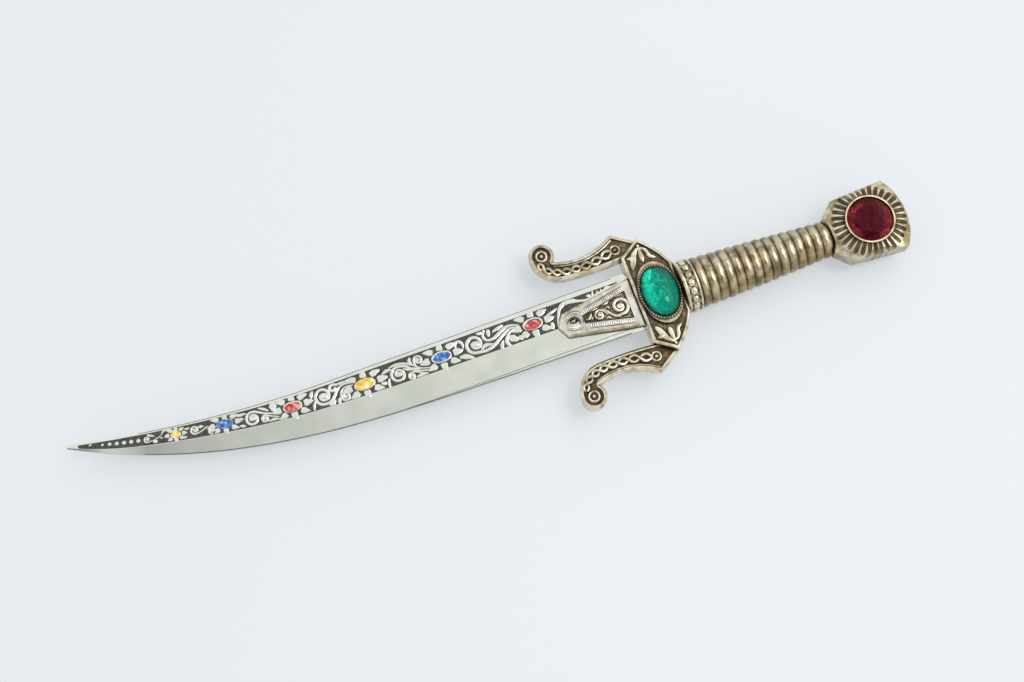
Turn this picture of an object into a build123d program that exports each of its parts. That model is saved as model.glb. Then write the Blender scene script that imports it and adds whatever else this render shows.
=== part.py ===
from build123d import *
import math
import os

# Letter opener in the form of a small curved dagger, in millimetres.
# X runs along the grip from the blade's tip to the pommel's butt, Y across the guard, Z up out of
# the jewelled face. X = 0 is mid length and Z = 0 is the surface that two of the ferrule's beads lie on.
# Places along the hilt are measured from the middle of the guard, heights from the grip's axis.

# Blade: a straight spine that sweeps up, an edge that sweeps up more, and a ground bevel
BLADE_REACH = 152.8
BLADE_THICK = 2.0
EDGE_THICK = 0.4
SPINE_RISE = 8.6
SPINE_FALL = 0.0232
SPINE_TURN = 90.0
SPINE_SWEEP = 1.8
BELLY_DROP = 7.2
EDGE_TURN = 45.0
EDGE_SWEEP = 3.0
TIP_RISE = 12.0
TIP_WIDE = 0.6
SPINE_END_ROUND = 1.5
BEVEL_SHARE = 0.47
BEVEL_TURN = 115.0
BEVEL_TIP_SHARE = 0.1
SECTION_COUNT = 12

# Etched band on both faces: plain strips beside it, and the black ground in it
BAND_START = 9.0
BAND_TIP_GAP = 2.8
BAND_STRIP_ROOT = 1.6
BAND_STRIP_TIP = 0.35
BAND_BEVEL_STRIP = 0.12
ETCH_DEPTH = 0.25
GROUND_THICK = 0.15

# Enamel hearts: place as a share of the blade's reach, then shares of the usual length and width
HEART_LENGTH = 4.5
HEART_WIDE = 2.2
RED_HEARTS = ((0.216, 1.0, 1.0), (0.634, 0.93, 1.0))
BLUE_HEARTS = ((0.377, 1.0, 1.0), (0.746, 0.93, 1.0))
YELLOW_HEARTS = ((0.510, 1.1, 1.2), (0.827, 0.53, 0.9))
ENAMEL_THICK = 0.16

# Tang, and the threaded rod, washer and nut that hold the hilt together
TANG_WIDE = 8.0
TANG_IN_GRIP = 4.2
TONGUE_LENGTH = 6.0
ROD_DIAMETER = 3.0
ROD_IN_POMMEL = 8.5
WASHER_DIAMETER = 6.6
WASHER_THICK = 0.5
NUT_ACROSS_FLATS = 5.5
NUT_HEIGHT = 2.4
SLIP_FIT = 0.1
THREAD_FIT = 0.02
END_SPARE = 0.5

# Crossguard: lozenge outline, and hooked quillons that end in scrolls
BAR_THICK = 3.2
LOZENGE_FRONT = 6.1
LOZENGE_FRONT_HALF = 11.85
LOZENGE_TIP_BACK = 0.7
LOZENGE_HALF = 15.5
LOZENGE_BACK = 5.7
LOZENGE_BACK_HALF = 6.9
LOZENGE_BULGE = 0.6
ELBOW_PLACE = 6.6
ELBOW_OUT = 19.4
ELBOW_ROUND = 0.8
QUILLON_ROOT_OUT = 13.0
QUILLON_HOLLOW = 2.1
SCROLL_PLACE = 24.9
SCROLL_OUT = 19.6
SCROLL_RADIUS = 3.3
SCROLL_MOUTH = -44.0
HOOK_PLACE = 21.0
HOOK_OUT = 11.8
HOOK_SAG = 0.3
QUILLON_RIM = 0.85
QUILLON_BEVEL = 0.45
CHANNEL_DEPTH = 0.45
SCROLL_EYE_RADIUS = 0.4

# Lozenge shells on the front and back of the crossguard
SHELL_THICK = 1.6
SHELL_RIM = 0.7
SHELL_SINK = 0.5
SHELL_BEVEL = 0.25
PEG_DIAMETER = 1.6
PEG_LENGTH = 1.2
PEG_OUT = 10.8
PEG_PLACE = 1.5

# Langets: tongues on both faces of the blade, with a sunk panel and an eye
LANGET_THICK = 1.0
LANGET_REACH = 27.4
LANGET_SHOULDER = 25.5
LANGET_ROOT_HALF = 6.6
LANGET_SHOULDER_HALF = 3.25
LANGET_BEVEL = 0.25
PANEL_START = 8.2
PANEL_END = 20.6
PANEL_ROOT_HALF = 3.8
PANEL_END_HALF = 1.1
PANEL_SINK = 0.4
EYE_PLACE = 23.0
EYE_RISE = 0.4
EYE_LENGTH = 2.4
EYE_WIDE = 1.5

# Green cabochon, its foil and its oval bezel
GREEN_LENGTH = 13.8
GREEN_WIDE = 9.8
GREEN_GIRDLE = 0.8
GREEN_DOME = 2.8
FOIL_THICK = 0.15
STONE_FIT = 0.05
BEZEL_SIDE_WALL = 0.45
BEZEL_END_WALL = 1.45
BEZEL_HEIGHT = 0.85
BEZEL_LIP_WALL = 0.35
BEZEL_LIP_HEIGHT = 0.35
BACK_OVAL_INSET = 0.4
BACK_OVAL_HEIGHT = 0.9

# Ferrule: two rims with a row of beads between them
FERRULE_LENGTH = 4.05
FERRULE_BORE_FIT = 0.2
FRONT_RIM_WIDE = 0.95
FRONT_RIM_RADIUS = 6.95
REAR_RIM_WIDE = 0.7
REAR_RIM_RADIUS = 6.9
RIM_ROUND = 0.25
FERRULE_FLOOR_RADIUS = 6.45
BEAD_CREST_RADIUS = 7.15
BEAD_RADIUS = 1.2
BEAD_COUNT = 18

# Grip: ribs that shrink towards the pommel
RIB_COUNT = 15
RIB_PITCH = 2.44
RIB_ROOT_RADIUS = 6.7
RIB_END_RADIUS = 4.75
RIB_TAPER_POWER = 1.3
RIB_DEPTH = 0.5

# Pommel: a bevelled block with flutes that radiate from the red stone
NECK_HALF = 4.6
SHOULDER_LENGTH = 3.95
SHOULDER_HALF = 8.5
BUTT_CORNER_LENGTH = 18.55
BUTT_HALF = 9.4
POMMEL_LENGTH = 21.35
POMMEL_THICK = 7.4
POMMEL_CROWN = 0.9
POMMEL_FALL = 0.35
POMMEL_FRONT_BEVEL = 1.6
POMMEL_NECK_BEVEL = 2.3
POMMEL_BACK_BEVEL = 1.8
FLUTE_COUNT = 32
FLUTE_RADIUS = 0.56
FLUTE_LIFT = 0.14
FLUTE_END = 9.8
BACK_FLUTE_FILL = 0.84
BACK_DISC_HEIGHT = 0.4

# Red stone: a faceted disc in a round cup
RED_PLACE = 11.15
RED_DIAMETER = 12.0
RED_GIRDLE = 1.0
RED_CROWN = 0.9
RED_TABLE_DIAMETER = 7.4
RED_FACETS = 8
CUP_WALL = 0.4
CUP_FLOOR = 0.4
CUP_SEAT = 0.4
CUP_LIP = 0.25

# Places that follow from the sizes above
GRIP_START = LOZENGE_BACK + FERRULE_LENGTH
GRIP_END = GRIP_START + RIB_COUNT * RIB_PITCH
POMMEL_REACH = GRIP_END + POMMEL_LENGTH
GUARD_X = (BLADE_REACH - POMMEL_REACH) / 2
BEAD_RING_RADIUS = BEAD_CREST_RADIUS - BEAD_RADIUS
HALF_BEAD_ANGLE = 180 / BEAD_COUNT
AXIS_Z = BEAD_RING_RADIUS * math.cos(math.radians(HALF_BEAD_ANGLE)) + BEAD_RADIUS
BLADE_HALF = BLADE_THICK / 2
BAR_HALF = BAR_THICK / 2
SHELL_TOP = BAR_HALF + SHELL_THICK
SHELL_FLOOR = SHELL_TOP - SHELL_SINK
GROUND_TOP = BLADE_HALF - ETCH_DEPTH + GROUND_THICK
TANG_END = GRIP_START + TANG_IN_GRIP
TANG_BORE_RADIUS = math.hypot(TANG_WIDE / 2, BLADE_HALF) + FERRULE_BORE_FIT
ROD_RADIUS = ROD_DIAMETER / 2
ROD_END = GRIP_END + ROD_IN_POMMEL
TONGUE_HALF = math.sqrt(ROD_RADIUS**2 - BLADE_HALF**2)
RECESS_START = GRIP_END - WASHER_THICK - NUT_HEIGHT - END_SPARE
BEZEL_LENGTH_HALF = GREEN_LENGTH / 2 + STONE_FIT + BEZEL_END_WALL
BEZEL_WIDE_HALF = GREEN_WIDE / 2 + STONE_FIT + BEZEL_SIDE_WALL
GREEN_BASE = SHELL_FLOOR + FOIL_THICK
POMMEL_HALF = POMMEL_THICK / 2
POMMEL_TOP = POMMEL_HALF + POMMEL_CROWN
RED_X = GRIP_END + RED_PLACE
CUP_RADIUS = RED_DIAMETER / 2 + STONE_FIT + CUP_WALL
CUP_BASE = POMMEL_HALF - CUP_SEAT
RED_BASE = CUP_BASE + CUP_FLOOR + FOIL_THICK

GRIP_AXIS = Axis((GUARD_X, 0, AXIS_Z), (1, 0, 0))
GRIP_PROFILE = Plane((GUARD_X, 0, AXIS_Z), x_dir=(1, 0, 0), z_dir=(0, -1, 0))


def level(height, place=0.0):
    """A plane that faces up, at a height over the grip's axis and a place along the hilt."""
    return Plane((GUARD_X + place, 0, AXIS_Z + height))


def station(place):
    """A plane across the grip's axis, with Y to its right and Z up."""
    return Plane((GUARD_X + place, 0, AXIS_Z), x_dir=(0, 1, 0), z_dir=(1, 0, 0))


def keep(builder, name):
    """Label a finished piece and write it."""
    builder.part.label = name
    export_step(builder.part, f"parts/{name}.step")


def outer_face(builder, side):
    """The piece's highest face for side 1, and its lowest for side -1."""
    faces = builder.faces().sort_by(Axis.Z)
    return faces[-1] if side > 0 else faces[0]


def spine_at(reach):
    """Height across the blade of its spine, at a distance from the guard."""
    straight = SPINE_RISE - SPINE_FALL * reach
    lift = TIP_RISE + TIP_WIDE / 2 - (SPINE_RISE - SPINE_FALL * BLADE_REACH)
    return straight + lift * (max(0.0, reach - SPINE_TURN) / (BLADE_REACH - SPINE_TURN)) ** SPINE_SWEEP


def edge_at(reach):
    """Height across the blade of its cutting edge."""
    lift = TIP_RISE - TIP_WIDE / 2 + BELLY_DROP
    return lift * (max(0.0, reach - EDGE_TURN) / (BLADE_REACH - EDGE_TURN)) ** EDGE_SWEEP - BELLY_DROP


def ridge_at(reach):
    """Height across the blade of the line where the ground bevel begins; the bevel narrows near the tip."""
    turned = (max(0.0, reach - BEVEL_TURN) / (BLADE_REACH - BEVEL_TURN)) ** 2
    share = BEVEL_SHARE + (BEVEL_TIP_SHARE - BEVEL_SHARE) * turned
    return edge_at(reach) + share * (spine_at(reach) - edge_at(reach))


def band_top_at(reach):
    """Upper border of the etched band."""
    strip = BAND_STRIP_ROOT + (BAND_STRIP_TIP - BAND_STRIP_ROOT) * reach / BLADE_REACH
    return spine_at(reach) - strip


def band_low_at(reach):
    """Lower border of the etched band."""
    return ridge_at(reach) + BAND_BEVEL_STRIP


# Outlines that more than one piece shares, drawn in hilt places
band_end = BLADE_REACH - BAND_TIP_GAP
band_step = (band_end - BAND_START) / SECTION_COUNT
band_reaches = [BAND_START + band_step * i for i in range(SECTION_COUNT + 1)]

with BuildSketch() as band_outline:
    with BuildLine():
        band_top = Spline([(-reach, band_top_at(reach)) for reach in band_reaches])
        band_low = Spline([(-reach, band_low_at(reach)) for reach in band_reaches])
        Line(band_top @ 0, band_low @ 0)
        Line(band_top @ 1, band_low @ 1)
    make_face()

lozenge_corner = (-LOZENGE_FRONT, LOZENGE_FRONT_HALF)
lozenge_tip = (-LOZENGE_TIP_BACK, LOZENGE_HALF)
lozenge_back = (LOZENGE_BACK, LOZENGE_BACK_HALF)

with BuildSketch() as lozenge_outline:
    with BuildLine():
        Polyline((-LOZENGE_FRONT, 0), lozenge_corner, lozenge_tip)
        SagittaArc(lozenge_tip, lozenge_back, LOZENGE_BULGE)
        Line(lozenge_back, (LOZENGE_BACK, 0))
        mirror(about=Plane.XZ)
    make_face()

# The quillon's root lies inside the lozenge
elbow = (-ELBOW_PLACE, ELBOW_OUT)
scroll_middle = (-SCROLL_PLACE, SCROLL_OUT)
root_inside = (0, QUILLON_ROOT_OUT)

with BuildSketch() as quillon_outline:
    with BuildLine():
        curl = CenterArc(scroll_middle, SCROLL_RADIUS, SCROLL_MOUTH, 180 - SCROLL_MOUTH)
        hook = TangentArc(curl @ 1, (-HOOK_PLACE, HOOK_OUT), tangent=curl % 1)
        SagittaArc(hook @ 1, lozenge_corner, -HOOK_SAG)
        Polyline(lozenge_corner, root_inside, lozenge_tip, elbow)
        SagittaArc(elbow, curl @ 0, QUILLON_HOLLOW)
    make_face()
    fillet(quillon_outline.vertices().sort_by_distance(elbow)[0], ELBOW_ROUND)

butt_corner = (GRIP_END + BUTT_CORNER_LENGTH, BUTT_HALF)
pommel_shoulder = (GRIP_END + SHOULDER_LENGTH, SHOULDER_HALF)

with BuildSketch() as pommel_outline:
    with BuildLine():
        Polyline((GRIP_END, 0), (GRIP_END, NECK_HALF), pommel_shoulder, butt_corner)
        mirror(about=Plane.XZ)
        ThreePointArc(butt_corner, (POMMEL_REACH, 0), (butt_corner[0], -BUTT_HALF))
    make_face()

os.makedirs("parts", exist_ok=True)

# Blade with its tang, etched on both faces
section_step = (BLADE_REACH - LOZENGE_FRONT) / SECTION_COUNT
section_reaches = [LOZENGE_FRONT + section_step * i for i in range(SECTION_COUNT + 1)]

with BuildPart() as blade:
    for reach in section_reaches:
        upper_half = [
            (spine_at(reach), BLADE_HALF),
            (ridge_at(reach), BLADE_HALF),
            (edge_at(reach), EDGE_THICK / 2),
        ]
        lower_half = [(across, -height) for across, height in reversed(upper_half)]
        with BuildSketch(station(-reach)):
            Polygon(*upper_half, *lower_half, align=None)
    loft()
    spine_end = (GUARD_X - LOZENGE_FRONT, spine_at(LOZENGE_FRONT), AXIS_Z)
    fillet(blade.edges().sort_by_distance(spine_end)[0], SPINE_END_ROUND)
    with BuildSketch(level(-BLADE_HALF)):
        with BuildLine():
            Polyline(
                (-LOZENGE_FRONT, TANG_WIDE / 2),
                (TANG_END, TANG_WIDE / 2),
                (TANG_END, TONGUE_HALF),
                (TANG_END + TONGUE_LENGTH, TONGUE_HALF),
                (TANG_END + TONGUE_LENGTH, 0),
            )
            mirror(about=Plane.XZ)
            Line((-LOZENGE_FRONT, TANG_WIDE / 2), (-LOZENGE_FRONT, -TANG_WIDE / 2))
        make_face()
    extrude(amount=BLADE_THICK)
    for side in (1, -1):
        with BuildSketch(level(side * BLADE_HALF)):
            add(band_outline.sketch)
        extrude(amount=-side * ETCH_DEPTH, mode=Mode.SUBTRACT)
keep(blade, "blade")

# Black ground in the etched bands
for side, name in ((1, "etched_ground_front"), (-1, "etched_ground_back")):
    with BuildPart() as ground:
        with BuildSketch(level(side * (BLADE_HALF - ETCH_DEPTH))):
            add(band_outline.sketch)
        extrude(amount=side * GROUND_THICK)
    keep(ground, name)

# Enamel hearts, laid along the middle of each band
heart_colours = (
    (RED_HEARTS, "enamel_red"),
    (BLUE_HEARTS, "enamel_blue"),
    (YELLOW_HEARTS, "enamel_yellow"),
)

for hearts, name in heart_colours:
    with BuildPart() as enamel:
        for side in (1, -1):
            with BuildSketch(level(side * GROUND_TOP)):
                for place_share, length_share, wide_share in hearts:
                    reach = place_share * BLADE_REACH
                    length = length_share * HEART_LENGTH
                    wide = wide_share * HEART_WIDE
                    middle = (band_top_at(reach) + band_low_at(reach)) / 2
                    slope = ridge_at(reach + length / 2) - ridge_at(reach - length / 2)
                    lean = -math.degrees(math.atan2(slope, length))
                    with Locations((-reach, middle)):
                        Ellipse(length / 2, wide / 2, rotation=lean)
            extrude(amount=side * ENAMEL_THICK)
    keep(enamel, name)

# Threaded rod, slotted for the tongue of the tang
with BuildPart() as tang_rod:
    with BuildSketch(station(TANG_END)):
        Circle(ROD_RADIUS)
    extrude(amount=ROD_END - TANG_END)
    with BuildSketch(station(TANG_END)):
        Rectangle(ROD_DIAMETER, BLADE_THICK)
    extrude(amount=TONGUE_LENGTH, mode=Mode.SUBTRACT)
keep(tang_rod, "tang_rod")

# Washer and nut in the recess at the end of the grip
with BuildPart() as grip_washer:
    with BuildSketch(station(RECESS_START)):
        Circle(WASHER_DIAMETER / 2)
        Circle(ROD_RADIUS + SLIP_FIT, mode=Mode.SUBTRACT)
    extrude(amount=WASHER_THICK)
keep(grip_washer, "grip_washer")

with BuildPart() as grip_nut:
    with BuildSketch(station(RECESS_START + WASHER_THICK)):
        RegularPolygon(NUT_ACROSS_FLATS / 2, 6, major_radius=False)
        Circle(ROD_RADIUS + THREAD_FIT, mode=Mode.SUBTRACT)
    extrude(amount=NUT_HEIGHT)
keep(grip_nut, "grip_nut")

# Crossguard: quillons with a sunk channel, and the lozenge with the tang's slot and peg holes
with BuildPart() as crossguard:
    with BuildSketch(level(-BAR_HALF)):
        add(quillon_outline.sketch)
    extrude(amount=BAR_THICK)
    chamfer(outer_face(crossguard, 1).edges() + outer_face(crossguard, -1).edges(), QUILLON_BEVEL)
    for side in (1, -1):
        with BuildSketch(level(side * BAR_HALF)):
            add(quillon_outline.sketch)
            offset(amount=-QUILLON_RIM)
            with Locations((-SCROLL_PLACE, SCROLL_OUT)):
                Circle(SCROLL_EYE_RADIUS, mode=Mode.SUBTRACT)
        extrude(amount=-side * CHANNEL_DEPTH, mode=Mode.SUBTRACT)
    mirror(about=Plane.XZ)
    with BuildSketch(level(-BAR_HALF)):
        add(lozenge_outline.sketch)
    extrude(amount=BAR_THICK)
    with BuildSketch(station(-LOZENGE_FRONT)):
        Rectangle(TANG_WIDE + 2 * SLIP_FIT, BLADE_THICK + 2 * SLIP_FIT)
    extrude(amount=LOZENGE_FRONT + LOZENGE_BACK, mode=Mode.SUBTRACT)
    for side in (1, -1):
        with BuildSketch(level(side * BAR_HALF)):
            with Locations((-PEG_PLACE, PEG_OUT), (-PEG_PLACE, -PEG_OUT)):
                Circle(PEG_DIAMETER / 2 + SLIP_FIT)
        extrude(amount=-side * (PEG_LENGTH + SLIP_FIT), mode=Mode.SUBTRACT)
keep(crossguard, "crossguard")

# Lozenge shells: a stone's seat in front, a plain raised oval behind
for side, name in ((1, "guard_shell_front"), (-1, "guard_shell_back")):
    with BuildPart() as shell:
        with BuildSketch(level(side * BAR_HALF)):
            add(lozenge_outline.sketch)
        extrude(amount=side * SHELL_THICK)
        chamfer(outer_face(shell, side).edges(), SHELL_BEVEL)
        with BuildSketch(level(side * SHELL_TOP)):
            add(lozenge_outline.sketch)
            offset(amount=-SHELL_RIM, kind=Kind.INTERSECTION)
            if side > 0:
                Ellipse(BEZEL_WIDE_HALF + STONE_FIT, BEZEL_LENGTH_HALF + STONE_FIT)
        extrude(amount=-side * SHELL_SINK, mode=Mode.SUBTRACT)
        if side < 0:
            with BuildSketch(level(side * SHELL_FLOOR)):
                Ellipse(BEZEL_WIDE_HALF - BACK_OVAL_INSET, BEZEL_LENGTH_HALF - BACK_OVAL_INSET)
            extrude(amount=side * BACK_OVAL_HEIGHT)
        with BuildSketch(level(side * BAR_HALF)):
            with Locations((-PEG_PLACE, PEG_OUT), (-PEG_PLACE, -PEG_OUT)):
                Circle(PEG_DIAMETER / 2)
        extrude(amount=-side * PEG_LENGTH)
    keep(shell, name)

# Langets
for side, name in ((1, "langet_front"), (-1, "langet_back")):
    with BuildPart() as langet:
        with BuildSketch(level(side * BLADE_HALF)):
            with BuildLine():
                Polyline(
                    (-LOZENGE_FRONT, 0),
                    (-LOZENGE_FRONT, LANGET_ROOT_HALF),
                    (-LANGET_SHOULDER, LANGET_SHOULDER_HALF),
                    (-LANGET_REACH, 0),
                )
                mirror(about=Plane.XZ)
            make_face()
        extrude(amount=side * LANGET_THICK)
        chamfer(outer_face(langet, side).edges(), LANGET_BEVEL)
        with BuildSketch(level(side * (BLADE_HALF + LANGET_THICK))):
            with BuildLine():
                Polyline(
                    (-PANEL_START, 0),
                    (-PANEL_START, PANEL_ROOT_HALF),
                    (-PANEL_END, PANEL_END_HALF),
                    (-PANEL_END, 0),
                )
                mirror(about=Plane.XZ)
            make_face()
            with Locations((-EYE_PLACE, EYE_RISE)):
                Ellipse(EYE_LENGTH / 2, EYE_WIDE / 2)
        extrude(amount=-side * PANEL_SINK, mode=Mode.SUBTRACT)
    keep(langet, name)

# Green cabochon: a straight girdle under a domed top
ellipsoid = scale(Sphere(1), by=(GREEN_WIDE / 2, GREEN_LENGTH / 2, GREEN_DOME))
dome = split(ellipsoid, bisect_by=Plane.XY)

with BuildPart() as cabochon:
    with BuildSketch(level(GREEN_BASE)):
        Ellipse(GREEN_WIDE / 2, GREEN_LENGTH / 2)
    extrude(amount=GREEN_GIRDLE)
    with Locations(level(GREEN_BASE + GREEN_GIRDLE)):
        add(dome)
keep(cabochon, "cabochon")

with BuildPart() as cabochon_foil:
    with BuildSketch(level(SHELL_FLOOR)):
        Ellipse(GREEN_WIDE / 2, GREEN_LENGTH / 2)
    extrude(amount=FOIL_THICK)
keep(cabochon_foil, "cabochon_foil")

with BuildPart() as cabochon_bezel:
    with BuildSketch(level(SHELL_FLOOR)):
        Ellipse(BEZEL_WIDE_HALF, BEZEL_LENGTH_HALF)
    extrude(amount=BEZEL_HEIGHT)
    lip_inset = STONE_FIT + BEZEL_LIP_WALL
    with BuildSketch(level(SHELL_FLOOR + BEZEL_HEIGHT)):
        Ellipse(GREEN_WIDE / 2 + lip_inset, GREEN_LENGTH / 2 + lip_inset)
    extrude(amount=BEZEL_LIP_HEIGHT)
    with BuildSketch(level(SHELL_FLOOR)):
        Ellipse(GREEN_WIDE / 2 + STONE_FIT, GREEN_LENGTH / 2 + STONE_FIT)
    extrude(amount=BEZEL_HEIGHT + BEZEL_LIP_HEIGHT, mode=Mode.SUBTRACT)
keep(cabochon_bezel, "cabochon_bezel")

# Ferrule: turned rims, and beads in the channel between them
front_rim_end = LOZENGE_BACK + FRONT_RIM_WIDE
rear_rim_start = GRIP_START - REAR_RIM_WIDE
bead_middle = (front_rim_end + rear_rim_start) / 2

with BuildPart() as ferrule:
    with BuildSketch(GRIP_PROFILE):
        with BuildLine():
            front_rim = ThreePointArc(
                (LOZENGE_BACK, FRONT_RIM_RADIUS - RIM_ROUND),
                (LOZENGE_BACK + FRONT_RIM_WIDE / 2, FRONT_RIM_RADIUS),
                (front_rim_end, FRONT_RIM_RADIUS - RIM_ROUND),
            )
            rear_rim = ThreePointArc(
                (rear_rim_start, REAR_RIM_RADIUS - RIM_ROUND),
                (rear_rim_start + REAR_RIM_WIDE / 2, REAR_RIM_RADIUS),
                (GRIP_START, REAR_RIM_RADIUS - RIM_ROUND),
            )
            channel = Line((front_rim_end, FERRULE_FLOOR_RADIUS), (rear_rim_start, FERRULE_FLOOR_RADIUS))
            bore = Line((GRIP_START, TANG_BORE_RADIUS), (LOZENGE_BACK, TANG_BORE_RADIUS))
            Line(front_rim @ 1, channel @ 0)
            Line(channel @ 1, rear_rim @ 0)
            Line(rear_rim @ 1, bore @ 0)
            Line(bore @ 1, front_rim @ 0)
        make_face()
    revolve(axis=GRIP_AXIS)
    with Locations(station(bead_middle)):
        with PolarLocations(BEAD_RING_RADIUS, BEAD_COUNT, start_angle=90 + HALF_BEAD_ANGLE):
            Sphere(BEAD_RADIUS)
keep(ferrule, "ferrule")

# Grip: one arc for each rib, over the socket, the rod's bore and the nut's recess
socket_end = TANG_END + END_SPARE


def crest_at(place):
    """Radius of the rib crests."""
    share = (place - GRIP_START) / (GRIP_END - GRIP_START)
    return RIB_ROOT_RADIUS - (RIB_ROOT_RADIUS - RIB_END_RADIUS) * share**RIB_TAPER_POWER


with BuildPart() as grip:
    with BuildSketch(GRIP_PROFILE):
        with BuildLine():
            for rib in range(RIB_COUNT):
                start = GRIP_START + rib * RIB_PITCH
                middle = start + RIB_PITCH / 2
                end = start + RIB_PITCH
                ThreePointArc(
                    (start, crest_at(start) - RIB_DEPTH),
                    (middle, crest_at(middle)),
                    (end, crest_at(end) - RIB_DEPTH),
                )
            Polyline(
                (GRIP_END, RIB_END_RADIUS - RIB_DEPTH),
                (GRIP_END, WASHER_DIAMETER / 2 + SLIP_FIT),
                (RECESS_START, WASHER_DIAMETER / 2 + SLIP_FIT),
                (RECESS_START, ROD_RADIUS + SLIP_FIT),
                (socket_end, ROD_RADIUS + SLIP_FIT),
                (socket_end, TANG_BORE_RADIUS),
                (GRIP_START, TANG_BORE_RADIUS),
                (GRIP_START, RIB_ROOT_RADIUS - RIB_DEPTH),
            )
        make_face()
    revolve(axis=GRIP_AXIS)
keep(grip, "grip")

# Pommel: its front falls away from the cup like a low cone, with round-ended flutes that follow the fall;
# its back is flat, with longer flutes and a plain disc
outline_reach = math.hypot(POMMEL_REACH - RED_X, BUTT_HALF)
flute_slope = BACK_FLUTE_FILL * math.tan(math.pi / FLUTE_COUNT)
flute_run = FLUTE_END - FLUTE_RADIUS - CUP_RADIUS
flute_drop = POMMEL_FALL * flute_run
front_plane = level(POMMEL_TOP, RED_X)
cup_edge = (CUP_RADIUS, 0)
front_foot = (CUP_RADIUS + outline_reach, -POMMEL_FALL * outline_reach)

with BuildPart() as pommel:
    with BuildSketch(level(-POMMEL_HALF)):
        add(pommel_outline.sketch)
    extrude(amount=POMMEL_THICK + POMMEL_CROWN)
    chamfer(outer_face(pommel, -1).edges(), POMMEL_BACK_BEVEL)
    chamfer(outer_face(pommel, 1).edges().sort_by(Axis.X)[:3], POMMEL_NECK_BEVEL)
    chamfer(outer_face(pommel, 1).edges().sort_by(Axis.X)[3:], POMMEL_FRONT_BEVEL)
    with BuildSketch(Plane(front_plane.origin, x_dir=(1, 0, 0), z_dir=(0, -1, 0))):
        Polygon(cup_edge, front_foot, (front_foot[0], POMMEL_CROWN), (CUP_RADIUS, POMMEL_CROWN), align=None)
    revolve(axis=Axis(front_plane.origin, (0, 0, 1)), mode=Mode.SUBTRACT)
    with Locations(level(POMMEL_TOP + FLUTE_LIFT, RED_X)):
        with PolarLocations(CUP_RADIUS, FLUTE_COUNT):
            Cylinder(
                FLUTE_RADIUS,
                math.hypot(flute_run, flute_drop),
                rotation=(0, 90 + math.degrees(math.atan(POMMEL_FALL)), 0),
                align=(Align.CENTER, Align.CENTER, Align.MIN),
                mode=Mode.SUBTRACT,
            )
            with Locations((flute_run, 0, -flute_drop)):
                Sphere(FLUTE_RADIUS, mode=Mode.SUBTRACT)
    with Locations(level(-POMMEL_HALF, RED_X)):
        with PolarLocations(CUP_RADIUS, FLUTE_COUNT):
            Cone(
                CUP_RADIUS * flute_slope,
                (CUP_RADIUS + outline_reach) * flute_slope,
                outline_reach,
                rotation=(0, 90, 0),
                align=(Align.CENTER, Align.CENTER, Align.MIN),
                mode=Mode.SUBTRACT,
            )
    with BuildSketch(front_plane):
        Circle(CUP_RADIUS + STONE_FIT)
    extrude(amount=CUP_BASE - POMMEL_TOP, mode=Mode.SUBTRACT)
    with BuildSketch(level(-POMMEL_HALF, RED_X)):
        Circle(CUP_RADIUS)
    extrude(amount=-BACK_DISC_HEIGHT)
    with BuildSketch(station(GRIP_END)):
        Circle(ROD_RADIUS + THREAD_FIT)
    extrude(amount=ROD_IN_POMMEL + END_SPARE, mode=Mode.SUBTRACT)
keep(pommel, "pommel")

# Red stone: main facets from the girdle to the table, and steeper ones that meet the table's corners
red_radius = RED_DIAMETER / 2
half_facet = 180 / RED_FACETS
table_side = RED_TABLE_DIAMETER / 2
table_corner = table_side / math.cos(math.radians(half_facet))

with BuildPart() as red_stone:
    with BuildSketch(level(RED_BASE, RED_X)):
        Circle(red_radius)
    extrude(amount=RED_GIRDLE + RED_CROWN)
    for turn, top in ((0.0, table_side), (half_facet, table_corner)):
        foot = red_radius + (red_radius - top) * RED_GIRDLE / RED_CROWN
        with BuildSketch(level(RED_BASE, RED_X)):
            RegularPolygon(foot, RED_FACETS, major_radius=False, rotation=turn)
        with BuildSketch(level(RED_BASE + RED_GIRDLE + RED_CROWN, RED_X)):
            RegularPolygon(top, RED_FACETS, major_radius=False, rotation=turn)
        loft(ruled=True, mode=Mode.INTERSECT)
keep(red_stone, "red_stone")

with BuildPart() as red_stone_foil:
    with BuildSketch(level(CUP_BASE + CUP_FLOOR, RED_X)):
        Circle(red_radius)
    extrude(amount=FOIL_THICK)
keep(red_stone_foil, "red_stone_foil")

with BuildPart() as red_stone_bezel:
    cup_height = CUP_FLOOR + FOIL_THICK + RED_GIRDLE + CUP_LIP
    with BuildSketch(level(CUP_BASE, RED_X)):
        Circle(CUP_RADIUS)
    extrude(amount=cup_height)
    with BuildSketch(level(CUP_BASE + CUP_FLOOR, RED_X)):
        Circle(red_radius + STONE_FIT)
    extrude(amount=cup_height, mode=Mode.SUBTRACT)
keep(red_stone_bezel, "red_stone_bezel")

whole_length = BLADE_REACH + POMMEL_REACH
print(f"letter opener {whole_length:.1f} mm long, guard at x {GUARD_X:.2f}, axis at z {AXIS_Z:.2f}")
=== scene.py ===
# %% [markdown]
# # A letter opener made like a small curved dagger
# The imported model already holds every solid: blade, guard, grip, pommel and stones.
# This lesson gives every piece its finish, adds what the etcher, the caster and the setter
# put on the surfaces, and lights it all as it would lie on a white table.

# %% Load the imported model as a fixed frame
import math
import random
import bpy
from mathutils import Matrix, Vector
from mathutils.bvhtree import BVHTree
from mathutils.geometry import delaunay_2d_cdt


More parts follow.
